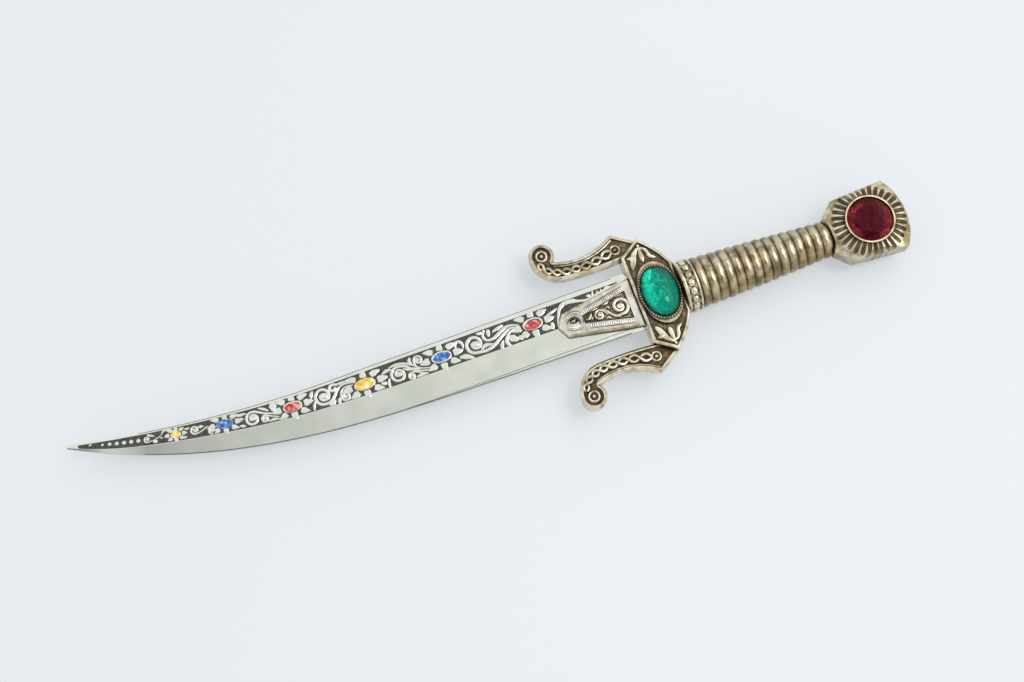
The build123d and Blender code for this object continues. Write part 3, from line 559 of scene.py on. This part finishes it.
# %% Leaves and buds of the band
LEAF_FULL = 1.4
leaves = [
    (((-27, -0.2), (-26.8, 1.2), (-26.3, 2.8), (-25.5, 4.6), (-24.4, 5.7), (-22.8, 6), (-21.2, 5.8)),
     (0.4, 0.5, 0.6, 0.9, 1.0)),
    (((-21.4, 5.75), (-19.8, 5.3), (-18, 4.95), (-16.4, 5.15), (-14.6, 5.5), (-12.6, 5.85), (-10.6, 6.1),
      (-8.6, 6.4)), (0.8, 0.5, 0.5, 0.6, 0.5, 0.4)),
    (((-29, 4.35), (-27.5, 4.75), (-25.9, 5.3)), (0.3, 0.55, 0.2)),
    (((-28.5, 0.8), (-28.4, 1.3), (-28.3, 1.9)), (0.6, 0.9, 0.6)),
    (((-17.4, 5.85), (-17.1, 5.85), (-16.8, 5.85)), (0.5, 0.62, 0.5)),
    (((-16.1, 5.6), (-15.95, 6), (-15.8, 6.5)), (0.4, 0.4, 0.3)),
    (((-14.8, 5.7), (-14.7, 6), (-14.6, 6.3)), (0.4, 0.35, 0.2)),
    (((-13.7, 5.9), (-13.6, 6.1), (-13.5, 6.4)), (0.3, 0.3, 0.2)),
    (((-12.5, 6.3), (-11.9, 6.4), (-11.3, 6.4)), (0.4, 0.6, 0.4)),
    (((-37.5, 1.1), (-37.1, 1.1), (-36.7, 1.2)), (0.8, 1.1, 0.8)),
    (((-39.6, 2.1), (-39, 1.6), (-38.3, 1)), (1, 1.6, 1)),
    (((-40.3, 0), (-40.7, 1.1), (-40.3, 2.3), (-39.5, 3.2), (-38.1, 3.8)), (0.6, 0.8, 0.6, 0.5, 0.3)),
    (((-42.4, -0.1), (-42.1, 0.9), (-41.5, 1.8)), (0.6, 0.8, 0.3)),
    (((-36.7, 4.5), (-38.3, 4.95), (-39.8, 4.95), (-41.2, 4.4), (-42.8, 3.6), (-44.2, 3.1), (-45.4, 3.3),
      (-46, 4.1), (-45.9, 5.1), (-45.4, 5.9)), (0.3, 0.7, 0.6, 0.6, 0.5)),
    (((-44.6, 4.3), (-44.5, 4.9), (-44.4, 5.5)), (0.5, 0.8, 0.7)),
    (((-43.2, 4.9), (-42, 5.3), (-40.6, 5.7)), (0.4, 0.7, 0.5)),
    (((-47.4, 1.4), (-46.2, 2.1), (-45, 2), (-43.8, 1.7)), (0.3, 0.9, 0.6, 0.2)),
    (((-47.2, 5.7), (-46.7, 5.6), (-46.2, 5.7)), (0.5, 0.7, 0.4)),
    (((-53.5, 4.1), (-53.3, 5), (-52.6, 5.4), (-51.9, 5), (-51.6, 4.2), (-51.7, 3.4)), (0.4, 0.6, 0.6, 0.3)),
    (((-52.9, 1.2), (-51.8, 1), (-50.6, 0.4), (-49.8, -0.2)), (0.7, 1.2, 0.8, 0.3)),
    (((-64.6, 3), (-65.8, 3.8), (-67.4, 4.55), (-69.4, 4.85), (-71, 4.6)), (0.3, 0.5, 0.55, 0.55, 0.3)),
    (((-65.4, 5.3), (-65.7, 4.6), (-65.3, 3.9)), (0.4, 0.7, 0.3)),
    (((-64.9, 0.1), (-63.6, 0.25), (-62.2, 0.2)), (0.4, 0.8, 0.4)),
    (((-72.2, -0.3), (-72.2, 0.8), (-71.8, 1.9)), (0.4, 0.6, 0.3)),
    (((-70.9, 4.1), (-72, 4.1), (-73.2, 3.6)), (0.4, 0.8, 0.3)),
    (((-73.7, 1.3), (-73.3, 1.2), (-72.9, 1.3)), (0.6, 0.8, 0.5)),
    (((-67.6, 3.2), (-66.5, 2.6), (-65.2, 2.4), (-63.8, 1.8)), (0.3, 0.6, 0.6, 0.3)),
    (((-84.9, 4.9), (-85.7, 5.2), (-86.6, 4.9), (-86.7, 4.1), (-86, 3.7), (-85.4, 4.1)), (0.6, 0.6)),
    (((-85, 5), (-83.8, 4.95), (-82.4, 5)), (0.3, 0.6, 0.4)),
    (((-87.7, 0.4), (-86.9, 0.6), (-86.2, 1.2)), (0.5, 1, 0.3)),
    (((-85.4, -0.2), (-85.3, 0.6), (-85, 1.4)), (0.4, 0.7, 0.3)),
    (((-91.1, 5.2), (-91.6, 4.5), (-91.8, 3.6)), (0.3, 0.8, 0.3)),
    (((-91.9, 0.6), (-91.6, 1.5), (-91.2, 2.4)), (0.3, 0.6, 0.3)),
    (((-101.3, 5.9), (-101.5, 4.9), (-101.6, 4.1)), (0.8, 1.6, 0.9)),
    (((-105, 5.6), (-103.9, 5), (-103, 4.3)), (0.3, 0.6, 0.4)),
    (((-103.3, 1.5), (-102.2, 1.6), (-101, 1.4)), (0.3, 0.7, 0.4)),
    (((-109.5, 4.3), (-109.9, 4.4), (-110.3, 4.5)), (0.4, 0.6, 0.4)),
    (((-110.4, 2.7), (-109.9, 2.5), (-109.4, 2.3)), (0.4, 0.7, 0.4)),
    (((-110.9, 5.6), (-109.9, 5.4), (-108.6, 5.4)), (0.4, 0.7, 0.4)),
    (((-120.3, 6), (-119.9, 5.9), (-119.5, 5.9)), (0.4, 0.8, 0.4)),
    (((-122.8, 6.6), (-123.3, 6.5), (-123.8, 6.6)), (0.3, 0.5, 0.3)),
    (((-126.8, 7.1), (-127.6, 7.8), (-128.7, 8), (-129.5, 7.5)), (0.4, 0.6, 0.5, 0.3)),
    (((-129.6, 6.3), (-129.9, 6.4), (-130.2, 6.6)), (0.2, 0.3, 0.2)),
    (((-133, 8.3), (-132.4, 7.9), (-131.6, 7.5)), (0.3, 0.5, 0.3)),
]
band_lines += [stroke(places, [LEAF_FULL * wide for wide in widths], band_height) for places, widths in leaves]
band_lines += [dot(-124.3, 4.6, 0.35, band_height), dot(-147.1, 10.5, 0.3, band_height)]
lay("blade_scrollwork", "blade_steel", band_lines, ribbon,
    Rise=0.06 * MM, Root=0.08 * MM, Sides=10, Material=blade_steel)

# %% [markdown]
# The cutting edge was ground last, as a narrow second bevel that is widest near the hilt. Each side of it, and the
# back of the blade, carries a fine dark line of painted shade along the edge. A ray dropped on the blade finds its
# skin, so the lines follow its outline and slope.

# %% Lines of painted shade along the edges of the blade
RAY_FROM = 5.0
SEARCH_FROM, SEARCH_STEP, SEARCH_STEPS = 14, 0.05, 560
OUTER_IN, SPINE_IN, INNER_IN, WIDER_PER_MM = 0.14, 0.16, 0.2, 0.016
BROAD, FINE = 0.11 * MM, 0.07 * MM
GRINDING_END = -72
# These fine dark lines are painted shade along the edges of the blade.
edge_shade_steel, tree, shader, place = finish_of("Painted_shade_of_the_edges", Metallic=1.0)
grit = add(tree, "TexNoise", {"Vector": place, "Scale": 1 / (0.5 * MM), "Detail": 3.0})
edge_shade_tone = add(tree, "ValToRGB", {"Fac": grit}, ((0.35, "#4d4a45"), (0.65, "#6f6c66")))
edge_shade_rough = add(tree, "MapRange", {"Value": grit, "To Min": 0.35, "To Max": 0.55})
give(shader, {"Base Color": edge_shade_tone, "Roughness": edge_shade_rough})
blade_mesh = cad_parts["blade"].data
blade_skin = BVHTree.FromPolygons([v.co for v in blade_mesh.vertices], [p.vertices for p in blade_mesh.polygons])


def skin_at(along, across):
    """The upper skin of the blade at a place in millimetres, or None beside the blade."""
    return blade_skin.ray_cast(at(along, across, RAY_FROM), Vector((0, 0, -1)), RAY_FROM * MM)[0]


def edge_at(along, side):
    """How far across the blade ends there, in millimetres; side -1 is its cutting edge and +1 its back."""
    reaches = (side * (SEARCH_FROM - step * SEARCH_STEP) for step in range(SEARCH_STEPS))
    return next(reach for reach in reaches if skin_at(along, reach))


outer, inner, spine = [], [], []
for along in range(-10, -140, -5):
    edge = edge_at(along, -1)
    outer.append((skin_at(along, edge + OUTER_IN), BROAD))
    spine.append((skin_at(along, edge_at(along, 1) - SPINE_IN), FINE))
    if along > GRINDING_END:
        inner.append((skin_at(along, edge + INNER_IN + WIDER_PER_MM * (along - GRINDING_END)), FINE))
lay("blade_edge_shade_lines", "blade_steel", [outer, inner, spine], ribbon,
    Rise=0.03 * MM, Root=0.05 * MM, Sides=6, Material=edge_shade_steel)

# %% [markdown]
# ## Beads and milled edges
# The setting grips the green stone with a ring of tiny beads over a black ring that is a painted shade round the
# stone, the tongue's panel has milled edges like a coin, and the band ends in a row of dots that shrink towards the
# point.
# One tree makes all three: it sets grains of metal along a guide, turned with it, long across it or round, each as
# large as the guide says there.

# %% The tree of grains along a line
grain_row, given = shape_tree("Grains along a line", {"Count": "Int", "Grain": "Vector", "Material": "Material"})
spread = add(grain_row, "GeometryNodeResampleCurve", {"Curve": given["Geometry"], "Count": given["Count"]})
ball = add(grain_row, "GeometryNodeMeshIcoSphere", {"Radius": 1.0, "Subdivisions": 2})
shaped = add(grain_row, "GeometryNodeTransform", {"Geometry": ball, "Scale": given["Grain"]})
size_here = add(grain_row, "GeometryNodeInputRadius")
seats = add(grain_row, "GeometryNodeCurveToPoints", {"Curve": spread}, mode="EVALUATED")
facing = add(grain_row, "FunctionNodeAlignRotationToVector", {"Vector": seats.outputs["Tangent"]},
             axis="X", pivot_axis="Z")
grains = add(grain_row, "GeometryNodeInstanceOnPoints",
             {"Points": seats, "Instance": shaped, "Rotation": facing, "Scale": size_here})
end_tree(grain_row, grains, given["Material"])

# %% Beads that grip the green stone
LIP_MIDDLE = 0.22
BEAD_PITCH = 0.7
half_x = (stone_high.x - stone_low.x) / 2 / MM + LIP_MIDDLE
half_y = (stone_high.y - stone_low.y) / 2 / MM + LIP_MIDDLE
lip_height = top_of("cabochon_bezel")
oval = [(at(x, y, lip_height), 1.0) for x, y in around(half_x, half_y, 18)[:-1]]
oval_round = math.pi * (3 * (half_x + half_y) - math.sqrt((3 * half_x + half_y) * (half_x + 3 * half_y)))
lay("cabochon_bezel_beads", "antique_gold", [oval], grain_row, closed=True,
    Count=round(oval_round / BEAD_PITCH), Grain=(0.25 * MM, 0.33 * MM, 0.3 * MM), Material=ferrule_gold)
# The black ring under the beads is a painted shade round the stone and between the beads.
groove = [(point, 0.32 * MM) for point, _ in oval]
lay("cabochon_bezel_shade_ring", "black_ground", [groove], ribbon, closed=True,
    Rise=0.02 * MM, Root=0.1 * MM, Sides=8, Material=black_ground)

# %% Dots at the end of the band
dot_places = [(-135.5, 7.6, 1.1), (-137.3, 7.95, 1.1), (-139.1, 8.35, 1.1),
              (-140.9, 8.75, 1.05), (-142.6, 9.2, 0.95), (-144.2, 9.6, 0.7)]
dot_line = [(at(along, across, band_height), wide / 2 * MM) for along, across, wide in dot_places]
lay("blade_dots", "blade_steel", [dot_line], grain_row,
    Count=len(dot_places), Grain=(1.0, 1.0, 0.25), Material=blade_steel)

# %% Milled edges of the tongue
langet_height = top_of("langet_front")
edge_places = [(-8.7, 4.4), (-14.6, 3.1), (-20.4, 1.8)]
edges = [[(at(along, side * across, langet_height - 0.03), 1.0) for along, across in edge_places]
         for side in (1, -1)]
lay("langet_milling", "langet_silver", edges, grain_row,
    Count=22, Grain=(0.22 * MM, 0.52 * MM, 0.2 * MM), Material=bead_silver)

# %% [markdown]
# ## Carving of the hilt
# The tongue's panel holds gold scrolls on a dark ground, its point is engraved round the eye, thin raised lines
# edge the tongue and frame the eye, and each end of the lozenge has a tulip of three petals that open towards the
# stone. They are drawn lines too, rounder than the etched ones because they were cast.

# %% Scrolls in the tongue's panel
panel_lines = scroll(-10.6, 0.4, 2.3, 1.3, -105, 1, 0.95, 0.75,
                     [(-15.3, 1.1), (-14.3, 0.3), (-13.3, -1), (-12, -1.9)], panel_floor)
panel_lines += scroll(-16.3, -0.2, 1.3, 1.2, 45, 1, 0.75, 0.5, [(-14.2, -0.6), (-14.9, 0.3)], panel_floor)
for places, widths in (
    (((-20, -0.2), (-19.2, -0.3), (-18.5, 0.4), (-18, 1.1)), (0.4, 0.8, 0.8, 0.3)),
    (((-18.6, -0.8), (-18.3, -0.4), (-18, 0.1)), (0.3, 0.5, 0.3)),
    (((-18.6, 1.4), (-17.4, 1.6), (-16.2, 1.75)), (0.3, 0.6, 0.3)),
    (((-14.9, 2.1), (-13.8, 2.2), (-12.8, 2.7)), (0.4, 0.9, 0.4)),
    (((-14.3, 0.9), (-13.7, 1.2), (-13.3, 0.6)), (0.3, 0.7, 0.3)),
    (((-15, -1.8), (-14.3, -1.5), (-13.7, -2)), (0.3, 0.8, 0.3)),
    (((-9.1, 3.2), (-10.2, 3.2), (-11.5, 3.1)), (0.3, 0.5, 0.2)),
    (((-9, -2.9), (-10.4, -2.8), (-11.8, -2.6)), (0.3, 0.4, 0.2)),
):
    panel_lines.append(stroke(places, widths, panel_floor))
lay("langet_scrolls", "antique_gold", panel_lines, ribbon,
    Rise=0.3 * MM, Root=0.1 * MM, Sides=12, Material=guard_gold)

# %% Engraving round the eye of the tongue
engraved = [
    (((-25.05, 0.1), (-24.4, 0.85), (-23.4, 1.3), (-22.4, 1.15), (-21.75, 0.4), (-21.6, -0.4), (-21.7, -0.9)),
     (0.1, 0.5, 0.65, 0.7, 0.55, 0.1)),
    (((-25.5, 1.75), (-24.6, 2.35), (-23.4, 2.75), (-22.2, 2.85), (-21.2, 2.5), (-20.6, 1.8)),
     (0.1, 0.22, 0.26, 0.22, 0.1)),
    (((-24.7, 3.2), (-23.4, 3.65), (-21.9, 3.8), (-20.3, 3.5)), (0.08, 0.16, 0.18, 0.08)),
    (((-25.2, -1.3), (-24, -1.95), (-22.6, -2.15), (-21.3, -1.95)), (0.08, 0.18, 0.2, 0.08)),
    (((-20.95, 0.5), (-20.8, -0.1), (-20.9, -0.8)), (0.1, 0.2, 0.1)),
    (((-8.6, 5.15), (-14, 3.95), (-19.6, 2.75)), (0.14, 0.2, 0.1)),
    (((-8.6, -5.15), (-14, -3.95), (-19.6, -2.75)), (0.14, 0.2, 0.1)),
]
engraved_lines = [stroke(*line, langet_height) for line in engraved]
lay("langet_engraving", "black_ground", engraved_lines, ribbon,
    Rise=0.015 * MM, Root=0.05 * MM, Sides=8, Material=black_ground)

# %% Raised lines of the tongue
brow = [((-25.2, 0.95), (-24.4, 1.65), (-23.3, 2.05), (-22.2, 2), (-21.3, 1.4), (-20.9, 0.9)),
        (0.2, 0.5, 0.6, 0.55, 0.3)]
border = [((-8.2, -6.05), (-13, -5.18), (-19, -4.1), (-24.9, -3.02)), (0.5, 0.6, 0.6, 0.5)]
top_border = [((-8.2, 6.15), (-13, 5.28), (-19, 4.2), (-24.9, 3.12)), (0.25, 0.3, 0.3, 0.25)]
gold_lines = [stroke(*line, langet_height - 0.04) for line in (brow, border, top_border)]
lay("langet_brow", "antique_gold", gold_lines, ribbon,
    Rise=0.09 * MM, Root=0.1 * MM, Sides=10, Material=cup_gold)
lid = [((-25, -0.5), (-24.1, -1.05), (-23, -1.3), (-21.9, -1.15)), (0.3, 0.6, 0.65, 0.3)]
# The silver almond in the eye is a painted highlight: a raised stroke standing in for a gleam.
painted_glint = [((-23.9, 0.35), (-23.3, 0.55), (-22.6, 0.7)), (0.15, 0.35, 0.2)]
silver_lines = [stroke(*lid, langet_height - 0.04), stroke(*painted_glint, panel_floor)]
lay("langet_lid_and_painted_glint", "langet_silver", silver_lines, ribbon,
    Rise=0.12 * MM, Root=0.1 * MM, Sides=10, Material=bead_silver)

# %% Tulips at the ends of the lozenge
tulip = [
    (((-0.9, 12.8), (-0.95, 12), (-1, 10.9), (-1, 10), (-1, 9.2)), (0.8, 1.2, 1.4, 1.3, 0.5)),
    (((-1.6, 12.7), (-2.3, 12.1), (-2.9, 11.3), (-3.3, 10.3), (-3.7, 9.3), (-4.1, 8.5), (-4.3, 7.9)),
     (0.9, 1.6, 1.8, 1.5, 0.5)),
    (((-3.2, 10.8), (-4, 11), (-4.7, 11.1)), (1.2, 1.2, 0.5)),
    (((-0.5, 12.8), (0.3, 12.3), (0.75, 11.5), (0.9, 10.7), (1.2, 10), (1.8, 9.6), (2.5, 9.3)),
     (0.9, 1.1, 1.0, 1.0, 1.2, 0.4)),
    (((-2.4, 12.4), (-1.3, 12.95), (-0.2, 12.6)), (0.6, 0.9, 0.7)),
    (((-0.9, 13.3), (-0.85, 13.7), (-0.8, 14.2)), (0.7, 0.9, 0.5)),
]
tulips = [stroke([(along, side * across) for along, across in places], widths, shell_floor)
          for side in (1, -1) for places, widths in tulip]
lay("lozenge_tulips", "antique_gold", tulips, ribbon,
    Rise=0.36 * MM, Root=0.1 * MM, Sides=12, Material=ferrule_gold)

# %% [markdown]
# ## Braids on the quillons
# A two-strand braid runs along the sunk channel of each quillon, from a ring at the root to the eye of the scroll.
# The tree takes the channel's middle line and swings two strands to either side of it, half a wave apart,
# while each also rises and dips so that it passes over and under the other. The waves get shorter towards the scroll.

# %% The tree of a braid
braid, given = shape_tree("Two-strand braid", {"Waves": "Float", "Tighten": "Float", "Swing": "Float",
                                               "Lift": "Float", "Strand": "Float", "Material": "Material"})
fine = add(braid, "GeometryNodeResampleCurve", {"Curve": given["Geometry"], "Count": 140})
share = add(braid, "GeometryNodeSplineParameter").outputs["Factor"]
square = add(braid, "Math MULTIPLY", {0: share, 1: share})
tighter = add(braid, "Math MULTIPLY", {0: square, 1: given["Tighten"]})
paced = add(braid, "Math ADD", {0: share, 1: tighter})
waves = add(braid, "Math MULTIPLY", {0: paced, 1: given["Waves"]})
tangent = add(braid, "GeometryNodeInputTangent")
across_line = add(braid, "VectorMath CROSS_PRODUCT", {0: tangent, 1: (0, 0, 1)})
swing_here = add(braid, "Math MULTIPLY", {0: add(braid, "GeometryNodeInputRadius"), 1: given["Swing"]})
joined = add(braid, "GeometryNodeJoinGeometry")
for half_wave in (0.0, 0.5):
    turn = add(braid, "Math ADD", {0: waves, 1: half_wave})
    angle = add(braid, "Math MULTIPLY", {0: turn, 1: 2 * math.pi})
    sine = add(braid, "Math SINE", {0: angle})
    cosine = add(braid, "Math COSINE", {0: angle})
    swing = add(braid, "Math MULTIPLY", {0: sine, 1: swing_here})
    lift = add(braid, "Math MULTIPLY", {0: cosine, 1: given["Lift"]})
    slide = add(braid, "VectorMath SCALE", {0: across_line, "Scale": swing})
    rise = add(braid, "CombineXYZ", {"Z": lift})
    both = add(braid, "VectorMath ADD", {0: slide, 1: rise})
    strand = add(braid, "GeometryNodeSetPosition", {"Geometry": fine, "Offset": both})
    give(joined, {0: strand})
wire = add(braid, "GeometryNodeCurvePrimitiveCircle", {"Resolution": 8, "Radius": given["Strand"]})
rope = add(braid, "GeometryNodeCurveToMesh",
           {"Curve": joined, "Profile Curve": wire, "Scale": 1.0, "Fill Caps": True})
end_tree(braid, rope, given["Material"])

# %% Braids of the quillons
middle_line = [(-7.6, 14.9, 1.15), (-10.3, 14.1, 1.1), (-12.1, 13.75, 1.05), (-14, 13.5, 1),
               (-16.5, 13.45, 0.95), (-18.5, 13.5, 0.92), (-20.5, 13.65, 0.9), (-22.6, 14.2, 0.87),
               (-24.4, 15.1, 0.84), (-25.7, 16.3, 0.8), (-26.3, 17.8, 0.75)]
braid_lines = [[(at(along, side * across, channel_floor + 0.2), swing) for along, across, swing in middle_line]
               for side in (1, -1)]
lay("quillon_braids", "antique_gold", braid_lines, braid,
    Waves=3.1, Tighten=0.28, Swing=0.84 * MM, Lift=0.14 * MM, Strand=0.46 * MM, Material=ferrule_gold)

# %% [markdown]
# Round the braid each quillon has more cast lines: a ring with a dot at the root, a ring at the eye of the scroll,
# and a broad border along the hollow side, which follows the same arc as the quillon's edge.

# %% Rings and borders of the quillons
HOLLOW_MIDDLE = -16.43, 32.53
HOLLOW_RADIUS = 16.42
QUILLON_RIM, BORDER_IN = 0.85, 0.28
border_radius = HOLLOW_RADIUS + QUILLON_RIM + BORDER_IN
turns = [math.radians(turn) for turn in range(-56, -112, -5)]
quillon_lines = []
for side in (1, -1):
    border = [(HOLLOW_MIDDLE[0] + border_radius * math.cos(turn),
               side * (HOLLOW_MIDDLE[1] + border_radius * math.sin(turn))) for turn in turns]
    quillon_lines += [stroke(border, (0.6, 0.7, 0.7, 0.7, 0.5), channel_floor),
                      ring(-6.5, side * 15.0, 1.15, 0.55, channel_floor),
                      dot(-6.5, side * 15.0, 0.4, channel_floor),
                      ring(-24.9, side * 19.6, 1.3, 0.75, channel_floor)]
lay("quillon_borders", "antique_gold", quillon_lines, ribbon,
    Rise=0.4 * MM, Root=0.1 * MM, Sides=12, Material=ferrule_gold)

# %% [markdown]
# ## Foil behind the stones
# Foil pressed behind glass is creased into small flat facets, and each mirrors another part of the room:
# that is the glitter in the stone. A sheet of points about two millimetres apart is shaken up and down by a fixed
# pattern of chance and netted with triangles. It is pressed a little into the glass, so no air lies between them.

# %% Crumpled foil
RIM = 48
RIM_SHARE = 0.985
CREASED_SHARE = 0.8
PRESSED = 0.03


def crumpled_foil(name, node, grain, crease, seed):
    """A creased foil in place of a flat one; grain is the size of its facets and crease their rise, in mm."""
    low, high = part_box(node)
    middle, half = (low + high) / 2, (high - low) / 2
    chance = random.Random(seed)
    edge = [Vector(spot) for spot in around(1, 1, RIM // 2)[:-1]]
    spots = [Vector((e.x * half.x, e.y * half.y)) * RIM_SHARE for e in edge]
    steps = int(half.length / (grain * MM)) + 1
    for row in range(-steps, steps + 1):
        for column in range(-steps, steps + 1):
            along = column + 0.5 * (row % 2) + chance.uniform(-0.3, 0.3)
            spot = Vector((along, 0.87 * row + chance.uniform(-0.3, 0.3))) * grain * MM
            if (spot.x / half.x) ** 2 + (spot.y / half.y) ** 2 < CREASED_SHARE:
                spots.append(spot)
    flat, _, net, _, _, _ = delaunay_2d_cdt(spots, [], [], 0, 1e-9)
    rises = [PRESSED + (chance.random() * crease if index >= RIM else 0) for index in range(len(flat))]
    tops = [(middle.x + p.x, middle.y + p.y, high.z + rise * MM) for p, rise in zip(flat, rises)]
    feet = [(x, y, low.z) for x, y, _ in tops[:RIM]]
    count = len(tops)
    faces = [tuple(f) for f in net]
    faces += [(i, count + i, count + (i + 1) % RIM, (i + 1) % RIM) for i in range(RIM)]
    faces.append(tuple(count + i for i in reversed(range(RIM))))
    mesh = bpy.data.meshes.new(name)
    mesh.from_pydata(tops + feet, [], faces)
    mesh.materials.append(mirror_foil)
    piece = show(name, mesh)
    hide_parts(node)
    settle(piece)


crumpled_foil("cabochon_foil_creased", "cabochon_foil", 1.5, 0.14, 3)
crumpled_foil("red_stone_foil_creased", "red_stone_foil", 2.2, 0.4, 5)

# %% [markdown]
# ## Table, light and camera
# The opener lies on a plain pale table in a bright room. The viewer leans over it and darkens one round part of
# the sky: the bevel of the blade and the gold mirror that part, while the flat of the blade mirrors the bright room
# behind. One long lamp to the side puts a broad gleam on each rib of the grip, and one small lamp nearer overhead
# a spot on the green stone. The table shows half its own shade and half plain white, so that shadows stay weak.

# %% Table
TABLE_HALF = 3.0
WHITE_SHARE = 0.5
corners = [(x * TABLE_HALF, y * TABLE_HALF, 0) for x, y in ((-1, -1), (1, -1), (1, 1), (-1, 1))]
floor_mesh = bpy.data.meshes.new("table")
floor_mesh.from_pydata(corners, [], [(0, 1, 2, 3)])
table = show("table", floor_mesh)
table_white, tree, shader, place = finish_of("Matt_white_table", Roughness=0.75)
cloud = add(tree, "TexNoise", {"Vector": place, "Scale": 1 / (250 * MM), "Detail": 1.0})
table_tone = add(tree, "ValToRGB", {"Fac": cloud}, ((0.3, "#d7dcdf"), (0.7, "#dbe0e3")))
give(shader, {"Base Color": table_tone})
ray = add(tree, "LightPath")
mirrored = add(tree, "Math MAXIMUM", {0: ray.outputs["Is Glossy Ray"], 1: ray.outputs["Is Transmission Ray"]})
seen = add(tree, "Math MAXIMUM", {0: ray.outputs["Is Camera Ray"], 1: mirrored})
part_white = add(tree, "Math MULTIPLY", {0: seen, 1: WHITE_SHARE})
plain_white = add(tree, "Emission", {"Color": colour("#e8edf0"), "Strength": 1.0})
shown = add(tree, "MixShader", {0: part_white, 1: shader, 2: plain_white})
give(tree.nodes["Material Output"], {"Surface": shown})
floor_mesh.materials.append(table_white)

# %% Sky of the room
scene = bpy.context.scene
room = bpy.data.worlds.new("room")
scene.world = room
room.use_nodes = True
tree = room.node_tree
tree.nodes.clear()
VIEWER_SIDE = Vector((-0.11, -0.42, 0.9)).normalized()
towards = add(tree, "VectorMath DOT_PRODUCT", {0: add(tree, "TexCoord").outputs["Generated"], 1: VIEWER_SIDE})
sky = add(tree, "ValToRGB", {"Fac": towards.outputs["Value"]},
          ((0.0, "#f8fafc"), (1.0, "#a0a2a4"), (0.8, "#f8fafc"),
           (0.87, "#ebeef0"), (0.91, "#dadddf"), (0.95, "#d0d3d5")))
lit = add(tree, "Background", {"Color": sky, "Strength": 1.0})
add(tree, "OutputWorld", {"Surface": lit})

# %% Lamps
LAMP_AWAY = 0.9
for name, energy, wide, long, towards in (("lamp_long", 2.3, 1.1, 0.34, (0.58, 0.03, 0.81)),
                                          ("lamp_small", 1.2, 0.18, 0.18, (0.36, -0.14, 0.92))):
    lamp = bpy.data.lights.new(name, "AREA")
    lamp.shape = "RECTANGLE"
    lamp.energy, lamp.size, lamp.size_y = energy, wide, long
    holder = show(name, lamp)
    holder.location = Vector(towards) * LAMP_AWAY
    holder.rotation_euler = holder.location.to_track_quat("Z", "Y").to_euler()
    print(name, "at m", [round(c, 2) for c in holder.location])

# %% Camera
camera = bpy.data.cameras.new("camera")
camera.lens = 55.41
camera.sensor_width = 36.0
camera.clip_start = 0.01
viewer = show("camera", camera)
viewer.location = at(-76.79, -104.45, 383.42)
looked_at = at(-39.31, 1.38, -0.5)
right = Vector((0.94264, -0.33381, 0.0))
back = (viewer.location - looked_at).normalized()
viewer.rotation_euler = Matrix((right, back.cross(right), back)).transposed().to_euler()
scene.camera = viewer
scene.view_settings.view_transform = "Standard"
print("camera at mm", [round(c / MM, 1) for c in viewer.location])
